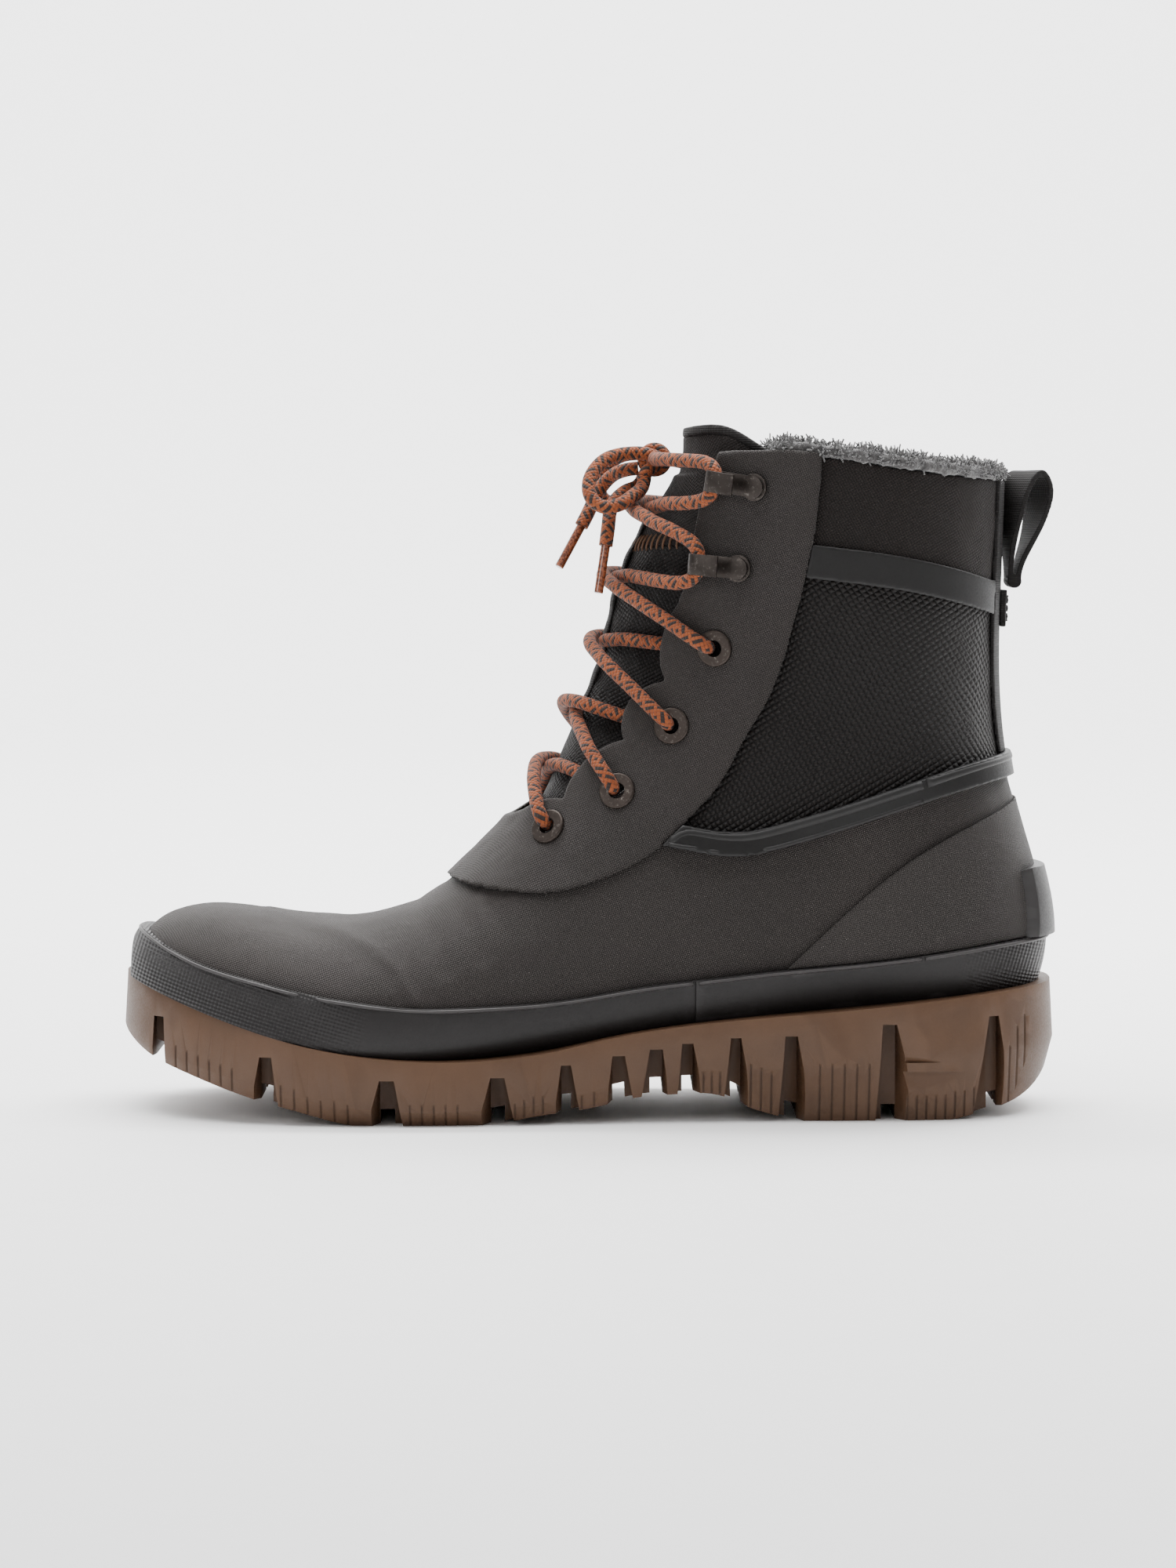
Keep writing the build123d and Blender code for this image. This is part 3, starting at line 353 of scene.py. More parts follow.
def braid_material(name):
    """Round braid of orange strands, a few of them dark, that show as rows of flecks, with painted shade where the
    strands sink.
    """
    n = Nodes(name)
    uv = n.add("ShaderNodeUVMap").outputs[0]
    split = n.add("ShaderNodeSeparateXYZ", Vector=uv).outputs
    along, around = split[0], split[1]            # millimetres along, turns around
    forward = n.math("MULTIPLY", along, BRAID_PITCH)
    a = n.math("ADD", forward, n.math("MULTIPLY", around, STRANDS))
    b = n.math("SUBTRACT", forward, n.math("MULTIPLY", around, STRANDS))
    sa = n.math("SINE", n.math("MULTIPLY", a, math.pi))
    sb = n.math("SINE", n.math("MULTIPLY", b, math.pi))
    height = n.math("POWER", n.math("MULTIPLY", n.math("ABSOLUTE", sa), n.math("ABSOLUTE", sb)), 0.45)
    first_on_top = n.math("GREATER_THAN", n.math("MULTIPLY", sa, sb), 0.0)
    dark = 0.0
    second_on_top = n.math("SUBTRACT", 1.0, first_on_top)
    for turn, on_top, dark_strands in ((a, first_on_top, FIRST_DARK), (b, second_on_top, SECOND_DARK)):
        strand = n.math("FLOORED_MODULO", n.math("FLOOR", turn), STRANDS)
        for number in dark_strands:
            same = n.math("COMPARE", strand, float(number), 0.2)
            dark = n.math("MAXIMUM", dark, n.math("MULTIPLY", same, on_top))
    point, _, _ = n.place()
    patch = n.noise(point, 0.25, 3)
    orange = n.mix(n.spread(patch, 0.3, 0.7, 0, 1), (0.19, 0.044, 0.012), (0.27, 0.070, 0.021))
    tint = n.mix(dark, orange, (0.020, 0.013, 0.011))
    # painted shade: the braid turns dark brown where it sinks between the strands
    tint = n.mix(n.spread(height, 0.0, 0.45, 0.85, 0.0), tint, (0.035, 0.010, 0.005))
    return n.finish(tint, 0.72, n.bump(height, 1.0, 0.3 * MM), Sheen_Weight=0.1,
                    Specular_IOR_Level=0.25)


def pile(name, dark, light):
    """Clumped pile or batting."""
    n = Nodes(name)
    point, _, _ = n.place()
    clumps = n.noise(point, 0.55, 6, 0.75)
    tint = n.mix(n.spread(clumps, 0.35, 0.65, 0, 1), dark, light)
    return n.finish(tint, 0.95, n.bump(clumps, 1.0, 0.9 * MM), Sheen_Weight=0.6, Sheen_Roughness=0.6)


def film(name, colour):
    """Clear shrunk film over dark braid."""
    n = Nodes(name)
    point, _, _ = n.place()
    flecks = n.spread(n.noise(point, 1.1, 3), 0.45, 0.55, 0, 1)
    tint = n.mix(flecks, colour, shaded(colour, 0.35))
    return n.finish(tint, 0.22, n.bump(n.noise(point, 0.8, 2), 0.3, 0.1 * MM), Coat_Weight=0.8)


MATERIALS = {
    "outsole_rubber": moulded("outsole_rubber", (0.066, 0.0335, 0.0172), 0.5, highlight_amount=0.18),
    "foxing_rubber": moulded("foxing_rubber", (0.0090, 0.0076, 0.0076), 0.5, highlight_amount=0.4, knurl=0.25,
                             knurl_zones=(-95, -70, 120, 140)),
    # foxing_lip is a lighter copy of the foxing rubber for the lip along the foxing's top: a painted highlight
    "foxing_lip": moulded("foxing_lip", (0.024, 0.0215, 0.0215), 0.42, highlight_amount=0.3),
    "heel_tab_rubber": moulded("heel_tab_rubber", (0.0125, 0.011, 0.011), 0.45, highlight_amount=0.5),
    "shell_fabric": woven("shell_fabric", (0.006, 0.005, 0.0045), (0.036, 0.0295, 0.0270), 0.62,
                          angle=0.35, depth=0.18, roughness=0.62),
    "shell_fabric_eyestay": woven("shell_fabric_eyestay", (0.006, 0.005, 0.0048),
                                  (0.034, 0.0280, 0.0255), 0.66, angle=0.42, depth=0.18,
                                  roughness=0.62),
    "overlay_film": woven("overlay_film", (0.007, 0.006, 0.0055), (0.036, 0.0300, 0.0275), 0.60,
                          angle=-0.25, depth=0.14, roughness=0.58),
    "mesh_fabric": woven("mesh_fabric", (0.0010, 0.0007, 0.0006), (0.0050, 0.0027, 0.0020), 1.75,
                         angle=0.55, depth=0.75, roughness=0.5, long_power=0.5, sheen=0.02,
                         wobble=0.05),
    "tongue_mesh": woven("tongue_mesh", (0.0009, 0.0006, 0.0005), (0.0050, 0.0029, 0.0023), 1.15,
                         angle=0.5, depth=0.5, roughness=0.5, long_power=0.5, sheen=0.02),
    "collar_fabric": woven("collar_fabric", (0.0016, 0.0011, 0.0009), (0.0100, 0.0060, 0.0048),
                           0.85, angle=0.5, depth=0.25, roughness=0.68, sheen=0.02, spot=0.25),
    "welded_strip": moulded("welded_strip", (0.0042, 0.0036, 0.0035), 0.46, grain=0.4, highlight_amount=0.3),
    "webbing": ribbed_webbing("webbing", (0.0075, 0.0060, 0.0057)),
    "eyelet_metal": coated_metal("eyelet_metal", (0.032, 0.024, 0.020), 0.42),
    "hook_metal": coated_metal("hook_metal", (0.030, 0.024, 0.021), 0.36),
    "lace_braid": braid_material("lace_braid"),
    "aglet_film": film("aglet_film", (0.20, 0.055, 0.022)),
    "fleece": pile("fleece", (0.014, 0.0125, 0.0120), (0.052, 0.047, 0.045)),
    "gusset_fabric": woven("gusset_fabric", (0.002, 0.0015, 0.0015), (0.012, 0.009, 0.008), 0.5),
    "insulation_batting": pile("insulation_batting", (0.55, 0.55, 0.53), (0.75, 0.75, 0.73)),
    "midsole_foam": moulded("midsole_foam", (0.06, 0.045, 0.04), 0.8),
    "shank_steel": coated_metal("shank_steel", (0.5, 0.5, 0.5), 0.35),
    "board": moulded("board", (0.30, 0.24, 0.17), 0.85),
    "stiffener": moulded("stiffener", (0.6, 0.56, 0.5), 0.5),
    "footbed_felt": pile("footbed_felt", (0.020, 0.019, 0.019), (0.055, 0.052, 0.051)),
    "stitch_thread": moulded("stitch_thread", (0.010, 0.008, 0.0075), 0.6),
    "stitch_brown": moulded("stitch_brown", (0.075, 0.036, 0.018), 0.6),
}
# nodes whose look differs from the rest of their slot
SPECIAL = {"eyestay": "shell_fabric_eyestay", "tongue_mesh": "tongue_mesh",
           "heel_tab": "heel_tab_rubber"}
for entry in frame["record"]["subparts"]:
    node, slot = entry["node"], entry["material_slot"]
    mesh = NODES[node].data
    mesh.materials.clear()
    mesh.materials.append(MATERIALS[SPECIAL.get(node, slot)])
    for face in mesh.polygons:
        face.material_index = 0


# ---------------------------------------------------------------- mesh helpers
WELD_DISTANCE = 2e-6
SWEEP_UP = Vector((0.13, 0.21, 0.97))      # along no cord


def new_object(name, mesh, body, slot, material, *replaced):
    """Puts a finished mesh in the scene, riding on a body when one is named and with its place baked in otherwise.
    """
    obj = bpy.data.objects.new(name, mesh)
    bpy.context.collection.objects.link(obj)
    mesh.materials.clear()
    mesh.materials.append(MATERIALS[material])
    for face in mesh.polygons:
        face.use_smooth = True
    if isinstance(body, str):
        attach(obj, body)
    else:
        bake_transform(obj)
    if replaced:
        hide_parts(*replaced)
    return obj


def joined(*parts):
    """One mesh from several CAD nodes or meshes, with doubled vertices welded."""
    bm = bmesh.new()
    for part in parts:
        bm.from_mesh(NODES[part].data if isinstance(part, str) else part)
    bmesh.ops.remove_doubles(bm, verts=bm.verts, dist=WELD_DISTANCE)
    mesh = bpy.data.meshes.new("joined")
    bm.to_mesh(mesh)
    bm.free()
    return mesh


def applied(mesh, *modifiers):
    """The mesh after modifiers, each given as (kind, settings)."""
    obj = bpy.data.objects.new("work", mesh)
    bpy.context.collection.objects.link(obj)
    for kind, settings in modifiers:
        modifier = obj.modifiers.new(kind, kind)
        for key, value in settings.items():
            setattr(modifier, key, value)
    graph = bpy.context.evaluated_depsgraph_get()
    result = bpy.data.meshes.new_from_object(obj.evaluated_get(graph))
    bpy.data.objects.remove(obj)
    return result


def softened(mesh, voxel, rounds):
    """An even fine mesh of the same shape with its edges rounded off."""
    return applied(mesh, ("REMESH", {"mode": "VOXEL", "voxel_size": voxel * MM}),
                   ("SMOOTH", {"factor": 0.5, "iterations": rounds}))


def moved_along_normals(mesh, height):
    """Moves each vertex along its normal by height(position in mm, normal), in mm."""
    places = [v.co + v.normal * (height(v.co * 1000, v.normal) * MM) for v in mesh.vertices]
    for vertex, place in zip(mesh.vertices, places):
        vertex.co = place
    mesh.update()
    return mesh


def warped(mesh, change):
    """Moves each vertex from its position in mm to change(position)."""
    for vertex in mesh.vertices:
        vertex.co = change(vertex.co * 1000) * MM
    mesh.update()
    return mesh


def waves(point, size, seed=0.0):
    """Smooth noise from -1 to 1 with bumps of about size mm."""
    return noise.noise(point / size + Vector((seed, seed * 0.7, -seed)))


def outward(point, normal):
    """1 where a surface looks away from the foot, 0 where it looks at it."""
    middle = Vector((max(min(point.x, 85.0), -95.0), 0.0, min(point.z, 55.0)))
    if point.z > 110:
        middle = Vector((82.0, 0.0, point.z))
    return 1.0 if (point - middle).dot(normal) > 0 else 0.0


def closeness(point, line):
    """Distance from (x, z) of a point to a side-view polyline."""
    best = 1e9
    for (x0, z0), (x1, z1) in zip(line, line[1:]):
        dx, dz = x1 - x0, z1 - z0
        t = ((point.x - x0) * dx + (point.z - z0) * dz) / (dx * dx + dz * dz)
        t = max(0.0, min(1.0, t))
        best = min(best, math.hypot(point.x - x0 - t * dx, point.z - z0 - t * dz))
    return best


def tree_of(*parts):
    """A ray-casting tree of several nodes or meshes together."""
    bm = bmesh.new()
    for part in parts:
        bm.from_mesh(NODES[part].data if isinstance(part, str) else part)
    tree = BVHTree.FromBMesh(bm)
    bm.free()
    return tree


def smoothed(points):
    """A line with each inner point moved towards its neighbours."""
    inner = [(a + b * 2 + c) / 4 for a, b, c in zip(points, points[1:], points[2:])]
    return [points[0]] + inner + [points[-1]]


def sweep(mesh_data, points, radius, sides=16, flat=1.0):
    """Adds a closed tube along points to (vertices, faces, uvs); u is mm along and v is turns round."""
    verts, faces, uvs = mesh_data
    start = len(verts)
    tangents = []
    for i in range(len(points)):
        a, b = points[max(0, i - 1)], points[min(len(points) - 1, i + 1)]
        tangents.append((b - a).normalized())
    side = SWEEP_UP.cross(tangents[0]).normalized()
    along = 0.0
    lengths = []
    for i, (point, tangent) in enumerate(zip(points, tangents)):
        side = (side - tangent * side.dot(tangent)).normalized()
        other = tangent.cross(side)
        if i:
            along += (point - points[i - 1]).length * 1000
        lengths.append(along)
        for k in range(sides):
            angle = 2 * math.pi * k / sides
            verts.append(point + (side * math.cos(angle) + other * math.sin(angle) * flat) * radius)
    for i in range(len(points) - 1):
        for k in range(sides):
            a = start + i * sides + k
            b = start + i * sides + (k + 1) % sides
            faces.append((a, b, b + sides, a + sides))
            v0, v1 = k / sides, (k + 1) / sides
            uvs.append([(lengths[i], v0), (lengths[i], v1), (lengths[i + 1], v1), (lengths[i + 1], v0)])
    last = start + (len(points) - 1) * sides
    faces.append(tuple(start + k for k in reversed(range(sides))))
    uvs.append([(lengths[0], k / sides) for k in range(sides)])
    faces.append(tuple(last + k for k in range(sides)))
    uvs.append([(lengths[-1], k / sides) for k in range(sides)])


def built(name, mesh_data):
    """A mesh from (vertices, faces, uvs)."""
    verts, faces, uvs = mesh_data
    mesh = bpy.data.meshes.new(name)
    mesh.from_pydata([tuple(v) for v in verts], [], faces)
    layer = mesh.uv_layers.new(name="UVMap")
    flat = [c for corners in uvs for uv in corners for c in uv]
    layer.data.foreach_set("uv", flat)
    mesh.update()
    return mesh


def even_points(points, step):
    """Points a step apart along a line of points."""
    result, left = [points[0]], step
    for a, b in zip(points, points[1:]):
        length = (b - a).length
        while length > 1e-12 and left <= length:
            a = a + (b - a) * (left / length)
            length = (b - a).length
            result.append(a)
            left = step
        left -= length
    if (result[-1] - points[-1]).length > step * 0.3:
        result.append(points[-1])
    return result


def nurbs_line(route):
    """The smooth line that a route's points, in metres, control."""
    curve = bpy.data.curves.new("route", "CURVE")
    curve.dimensions = "3D"
    spline = curve.splines.new("NURBS")
    spline.points.add(len(route) - 1)
    for point, place in zip(spline.points, route):
        point.co = (*place, 1)
    spline.order_u = 3
    spline.use_endpoint_u = True
    spline.resolution_u = 24
    obj = bpy.data.objects.new("route", curve)
    bpy.context.collection.objects.link(obj)
    graph = bpy.context.evaluated_depsgraph_get()
    mesh = bpy.data.meshes.new_from_object(obj.evaluated_get(graph))
    points = [v.co.copy() for v in mesh.vertices]
    bpy.data.objects.remove(obj)
    return points


# ---------------------------------------------------------------- the bow's free cords
# routes are in mm, and each cord's length is in metres
LACE_DIAMETER = 0.0046
LACE_SIDES = 20
LACE_STEP = 0.5 * MM
OUTER_LOOP = [(16.5, -4.8, 216.6), (11.8, -4.8, 216.6), (5.0, -8.5, 214.6), (0.2, -13.0, 208.6),
              (0.2, -16.2, 202.2), (4.6, -17.6, 198.4), (10.6, -16.6, 199.4), (15.0, -12.6, 202.8),
              (18.4, -6.2, 205.2), (18.6, -5.6, 209.0)]
INNER_LOOP = [(16.5, 4.8, 216.6), (12.4, 4.8, 216.6), (7.0, 9.5, 213.8), (3.4, 14.6, 207.8),
              (4.2, 18.0, 201.8), (8.6, 18.2, 199.8), (12.8, 14.4, 203.0), (17.0, 6.8, 205.8),
              (18.6, 5.6, 209.0)]
OUTER_TAIL = [(18.6, 1.6, 209.0), (17.6, 1.2, 205.8), (11.4, -2.8, 204.0), (7.2, -8.8, 198.8),
              (6.6, -13.4, 191.4), (5.8, -14.4, 186.2)]
INNER_TAIL = [(16.5, -1.6, 211.6), (12.6, -1.4, 211.4), (7.4, 4.0, 209.2), (2.8, 5.4, 203.4),
              (0.4, 2.4, 197.4), (-2.2, 1.0, 192.6)]
# node: route, length, far end, the fitting on it
CORDS = {"bow_loop_outer": (OUTER_LOOP, 0.0574, "object", None),
         "bow_loop_inner": (INNER_LOOP, 0.0510, "object", None),
         "lace_tail_outer": (OUTER_TAIL, 0.0334, "fitting", "aglet_outer"),
         "lace_tail_inner": (INNER_TAIL, 0.0313, "fitting", "aglet_inner")}


def add_cords():
    for node, (route, length, far_end, aglet) in CORDS.items():
        path = even_points(nurbs_line([Vector(p) * MM for p in route]), LACE_STEP)
        data = ([], [], [])
        sweep(data, path, LACE_DIAMETER / 2, LACE_SIDES)
        piece = new_object(node + "_braid", built(node, data), "boot", "lace_braid", "lace_braid", node)


# ---------------------------------------------------------------- lace and knot
def centreline(node, start, step):
    """The middle line of a tube-shaped CAD node, found by walking its mesh from its start."""
    bm = bmesh.new()
    bm.from_mesh(NODES[node].data)
    bmesh.ops.remove_doubles(bm, verts=bm.verts, dist=WELD_DISTANCE)
    for _ in range(4):
        long = [e for e in bm.edges if e.calc_length() > 1.5 * step]
        if not long:
            break
        bmesh.ops.subdivide_edges(bm, edges=long, cuts=1)
        bmesh.ops.triangulate(bm, faces=[f for f in bm.faces if len(f.verts) > 3])
    nearest = min(bm.verts, key=lambda v: (v.co - start).length)
    seeds = [v for v in bm.verts if (v.co - nearest.co).length < LACE_DIAMETER * 1.05
             and (v.co - start).length < LACE_DIAMETER * 0.6]
    distance = {v.index: 0.0 for v in seeds or [nearest]}
    heap = [(0.0, v.index) for v in seeds or [nearest]]
    bm.verts.ensure_lookup_table()
    while heap:
        d, index = heapq.heappop(heap)
        if d > distance[index]:
            continue
        vertex = bm.verts[index]
        for edge in vertex.link_edges:
            other = edge.other_vert(vertex)
            reach = d + edge.calc_length()
            if reach < distance.get(other.index, 1e9):
                distance[other.index] = reach
                heapq.heappush(heap, (reach, other.index))
    bins = {}
    for index, d in distance.items():
        bins.setdefault(int(d / step), []).append(bm.verts[index].co.copy())
    bm.free()
    line = [sum(bins[k], Vector()) / len(bins[k]) for k in sorted(bins) if len(bins[k]) >= 6]
    return smoothed(smoothed(line))


def add_lace():
    """The lace through its rows, on the middle line of its CAD node."""
    low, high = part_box("lace_knot")
    middle = (low + high) / 2
    start = Vector((middle.x, low.y, middle.z))
    line = centreline("lace", start, 2.0 * MM)
    line = even_points(nurbs_line(line), 0.6 * MM)
    data = ([], [], [])
    sweep(data, line, LACE_DIAMETER / 2, LACE_SIDES)
    new_object("lace_braid_tube", built("lace", data), "boot", "lace_braid", "lace_braid", "lace")
    add_knot(middle, low, high)


def add_knot(middle, low, high):
    """The bow's knot: two collar turns round strands that pass into them from the sides."""
    data = ([], [], [])
    radius = LACE_DIAMETER / 2
    half_x, half_y, half_z = [(h - l) / 2 - radius for l, h in zip(low, high)]
    for offset in (-1.3 * MM, 1.5 * MM):
        collar = []
        for k in range(41):
            angle = 2 * math.pi * k / 40
            lean = 0.9 * MM * math.sin(angle)
            collar.append(middle + Vector((math.cos(angle) * (half_x + 0.2 * MM), offset * 1.4 + lean,
                                           math.sin(angle) * (half_z + 0.2 * MM))))
        sweep(data, even_points(collar, LACE_STEP), radius, LACE_SIDES)
    for side in (-1, 1):
        strand = [middle + Vector((0, side * (half_y + 2.2 * MM), 0)),
                  middle + Vector((0.2 * MM, side * (half_y + 0.5 * MM), 0.8 * MM)),
                  middle + Vector((-1.0 * MM, side * half_y * 0.5, 1.0 * MM * side)),
                  middle + Vector((-1.4 * MM, 0, 0.4 * MM)),
                  middle + Vector((-0.5 * MM, -side * half_y * 0.6, -1.2 * MM))]
        sweep(data, even_points(nurbs_line(strand), LACE_STEP), radius, LACE_SIDES)
    for route, inwards in ((OUTER_LOOP, 0.2), (INNER_LOOP, -0.2)):
        first = Vector(route[0]) * MM
        last = Vector(route[-1]) * MM
        back = [first + Vector((-0.4 * MM, 0, 0)), first + Vector((2.0, inwards, 0)) * MM,
                middle + Vector((half_x, first.y * 0.6, 0)), last + Vector((0.3 * MM, 0, 1.6 * MM)),
                last]
        sweep(data, even_points(nurbs_line(back), LACE_STEP), radius, LACE_SIDES)
    new_object("bow_knot", built("bow_knot", data), "boot", "lace_braid", "lace_braid", "lace_knot")


# ---------------------------------------------------------------- upper
TOE_PUFF_EDGE = [(-106, 66), (-95, 63.5), (-84, 61), (-70, 56), (-61, 49), (-56, 40)]
FLEX_CREASES = [[(-58, 70), (-50, 60), (-46, 50)], [(-46, 74), (-38, 63), (-34, 54)],
                [(-31, 70), (-24, 60), (-22, 50)]]


def shell_height(point, normal):
    """Raises the shell over the toe puff's edge and sinks it in the flex creases."""
    if not outward(point, normal):
        return 0.0
    height = 0.35 * waves(point, 22, 3) + 0.16 * waves(point, 9, 5)
    height += 0.75 * math.exp(-(closeness(point, TOE_PUFF_EDGE) / 2.0) ** 2)
    for crease in FLEX_CREASES:
        height -= 0.45 * math.exp(-(closeness(point, crease) / 3.0) ** 2)
    return height


def eyelet_places():
    """The middle of each eyelet and each hook's rivet, read from the frame, in mm."""
    places = []
    for node in ("eyelets_outer", "eyelets_inner", "hook_rivets_outer", "hook_rivets_inner"):
        bm = bmesh.new()
        bm.from_mesh(NODES[node].data)
        bmesh.ops.remove_doubles(bm, verts=bm.verts, dist=WELD_DISTANCE)
        seen = set()
        for vertex in bm.verts:
            if vertex in seen:
                continue
            group, stack = [], [vertex]
            seen.add(vertex)
            while stack:
                v = stack.pop()
                group.append(v.co)
                for edge in v.link_edges:
                    other = edge.other_vert(v)
                    if other not in seen:
                        seen.add(other)
                        stack.append(other)
            places.append(sum(group, Vector()) / len(group) * 1000)
        bm.free()
    return places


def eyestay_height(places):
    """The eyestay's padding, pressed down round each eyelet and rivet."""
    def height(point, normal):
        if not outward(point, normal):
            return 0.0
        near = min((point - place).length for place in places)
        swell = 1 - math.exp(-(near / 10.0) ** 2)
        return swell * (0.55 + 0.45 * waves(point, 12, 1)) + 0.12 * waves(point, 5, 2) - 0.1

    return height


def cloth_height(amount, size, seed):
    """Soft unevenness on the outside of a cloth piece."""
    def height(point, normal):
        uneven = waves(point, size, seed) + 0.4 * waves(point, size * 0.4, seed)
        return outward(point, normal) * amount * uneven

    return height


def add_soft(node, voxel, rounds, material, slot, height=None):
    """A CAD node of cloth, remade with rounded edges and a surface that isn't dead even."""
    mesh = softened(joined(node), voxel, rounds)
    if height:
        moved_along_normals(mesh, height)
    return new_object(node + "_cloth", mesh, "boot", slot, material, node)


def add_upper():
    """The shell, its overlays, the panels above it and the strips along their seams."""
    add_soft("lower_shell", 0.8, 3, "shell_fabric", "shell_fabric", shell_height)
    add_soft("eyestay", 0.55, 5, "shell_fabric_eyestay", "shell_fabric",
             eyestay_height(eyelet_places()))
    add_soft("heel_overlay", 0.6, 3, "overlay_film", "overlay_film", cloth_height(0.15, 18, 2))
    for side in ("outer", "inner"):
        add_soft("quarter_panel_" + side, 0.8, 3, "mesh_fabric", "mesh_fabric",
                 cloth_height(0.35, 20, 4))
        add_soft("collar_panel_" + side, 0.8, 4, "collar_fabric", "collar_fabric",
                 cloth_height(0.4, 18, 6))
        add_soft("collar_stripe_" + side, 0.5, 3, "welded_strip", "welded_strip")
        add_soft("gusset_" + side, 0.45, 1, "gusset_fabric", "gusset_fabric")
    add_soft("back_strip", 0.5, 3, "webbing", "webbing")
    add_soft("loop_anchor", 0.5, 3, "webbing", "webbing")
    add_soft("shell_trim", 0.55, 3, "welded_strip", "welded_strip")


# ---------------------------------------------------------------- fleece, tongue, loop
TUFT_POINTS = 5
TUFT_RADIUS = 0.26 * MM


def fleece_height(point, _):
    """The lumps of a fleece surface."""
    return 0.9 * waves(point, 3.2, 1) + 0.7 * waves(point, 1.7, 2) + 0.2


def tufts(name, mesh, wanted, count, length, body, material, slot):
    """Short curled threads standing on the chosen part of a fleece surface."""
    faces = [f for f in mesh.polygons if wanted(f.center * 1000, f.normal)]
    data = ([], [], [])
    for _ in range(count if faces else 0):
        face = faces[rng.randrange(len(faces))]
        point, normal = face.center.copy(), face.normal.copy()
        lean = Vector([rng.uniform(-1, 1) for _ in range(3)]) * 0.9
        curl = Vector([rng.uniform(-1, 1) for _ in range(3)])
        size = length * rng.uniform(0.5, 1.25) * MM
        path = []
        for k in range(TUFT_POINTS):
            t = k / (TUFT_POINTS - 1)
            swirl = curl.cross(normal) * math.sin(t * 4.5) * 0.35
            bend = normal * t + lean * t * t * 0.6 + swirl * t
            path.append(point + bend * size - normal * 0.2 * MM)
        sweep(data, path, TUFT_RADIUS, sides=5)
    return new_object(name, built(name, data), body, slot, material)


def flap_joined(point):
    """Carries the tongue's top down to meet the rest of the tongue at the fold."""
    share = max(0.0, min(1.0, 1 - (point.z - 213.2) / 9.0))
    return Vector((point.x, point.y * (1 + 0.03 * share), point.z - 4.4 * share))


# where the tongue bends, and a band of height across the fold
FOLD = Vector(next(j for j in frame["joints"] if j["name"] == "tongue_top_flex")["pos_m"])
FOLD_LOW, FOLD_HIGH = 0.2085, 0.2150


def tongue_piece(name, nodes, flap, voxel, rounds, material, slot, height):
    """A layer of the tongue that runs across the fold between the boot and the tongue's top."""
    top = warped(joined(flap), flap_joined)
    mesh = softened(joined(joined(*nodes), top), voxel, rounds)
    moved_along_normals(mesh, height)
    band = ((FOLD.x, 0, FOLD_LOW), (FOLD.x, 0, FOLD_HIGH))
    return new_object(name, mesh, band, slot, material, *nodes, flap)


def add_tongue():
    """The tongue's outer cloths, padding, fleece, edge tape and strap."""
    add_soft("tongue_mesh", 0.6, 2, "tongue_mesh", "mesh_fabric", cloth_height(0.5, 10, 8))
    tongue_piece("tongue_face", ["tongue_cloth"], "flap_cloth", 0.55, 3, "collar_fabric",
                 "collar_fabric", cloth_height(0.45, 12, 9))
    padding = tongue_piece("tongue_padding", ["tongue_foam"], "flap_foam", 0.9, 1,
                           "insulation_batting", "insulation_batting", lambda p, n: -0.15)
    lining = tongue_piece("tongue_pile", ["tongue_lining"], "flap_lining", 0.8, 1, "fleece", "fleece",
                          fleece_height)
    tongue_piece("tongue_edge_binding", ["tongue_binding_sides"], "flap_binding", 0.45, 4, "webbing",
                 "webbing", lambda p, n: 0.35)
    add_soft("tongue_keeper", 0.45, 2, "webbing", "webbing",
             lambda p, n: 0.6 * math.sin(p.z * 0.25) ** 2 * outward(p, n))
    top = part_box("flap_lining")[1].z * 1000
    tufts("tongue_tufts", lining.data, lambda p, n: p.z > top - 9 and n.x > 0.2, 800, 1.7,
          "tongue_top", "fleece", "fleece")


def add_linings():
    """The padding, the fleece lining with its tufted collar, and the footbed."""
    pad = add_soft("insulation", 1.2, 1, "insulation_batting", "insulation_batting", lambda p, n: -0.1)
    mesh = softened(joined("lining"), 0.9, 1)
    moved_along_normals(mesh, fleece_height)
    lining = new_object("lining_pile", mesh, "boot", "fleece", "fleece", "lining")
    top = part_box("lining")[1].z * 1000
    tufts("collar_tufts", lining.data, lambda p, n: p.z > top - 14 and n.z > -0.3, 4600, 1.9, "boot",
          "fleece", "fleece")
    bed = softened(joined("footbed"), 1.2, 3)
    moved_along_normals(bed, lambda p, n: 0.3 * waves(p, 6, 3) - 0.15)
    new_object("footbed_pile", bed, "insole", "footbed_felt", "footbed_felt", "footbed")


LOOP_TWIST = math.radians(30)


def add_pull_loop():
    """The webbing loop, which turns a little towards its top."""
    low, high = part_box("pull_loop")
    base, top = low.z * 1000 + 4, high.z * 1000
    middle = Vector(((low.x + high.x) * 500, 0, 0))

    def twist(p):
        share = max(0.0, min(1.0, (p.z - base) / (top - base)))
        angle = LOOP_TWIST * share * share * (3 - 2 * share)
        dx, dy = p.x - middle.x, p.y
        c, s = math.cos(angle), math.sin(angle)
        return Vector((middle.x + dx * c - dy * s, dx * s + dy * c, p.z))

    mesh = softened(joined("pull_loop"), 0.4, 2)
    moved_along_normals(mesh, lambda p, n: 0.12 * waves(p, 9, 2))
    new_object("pull_loop_webbing", warped(mesh, twist), "heel_loop", "webbing", "webbing", "pull_loop")


# ---------------------------------------------------------------- small raised details
BAND_STEP = 2.0                            # mm between the rays that find a band's edge
RAY_START = 200.0                          # how far out the rays start, in mm
ROUND_TOE, ROUND_HEEL = -100.0, 108.0      # where the rays start to fan round each end
TOE_RADIUS, HEEL_RADIUS = 55, 45


def frange(start, stop, step):
    """Evenly spaced numbers from start up to stop, or down to it with a negative step."""
    count = int(abs((stop - start) / step))
    return [start + step * k for k in range(count + 1)]


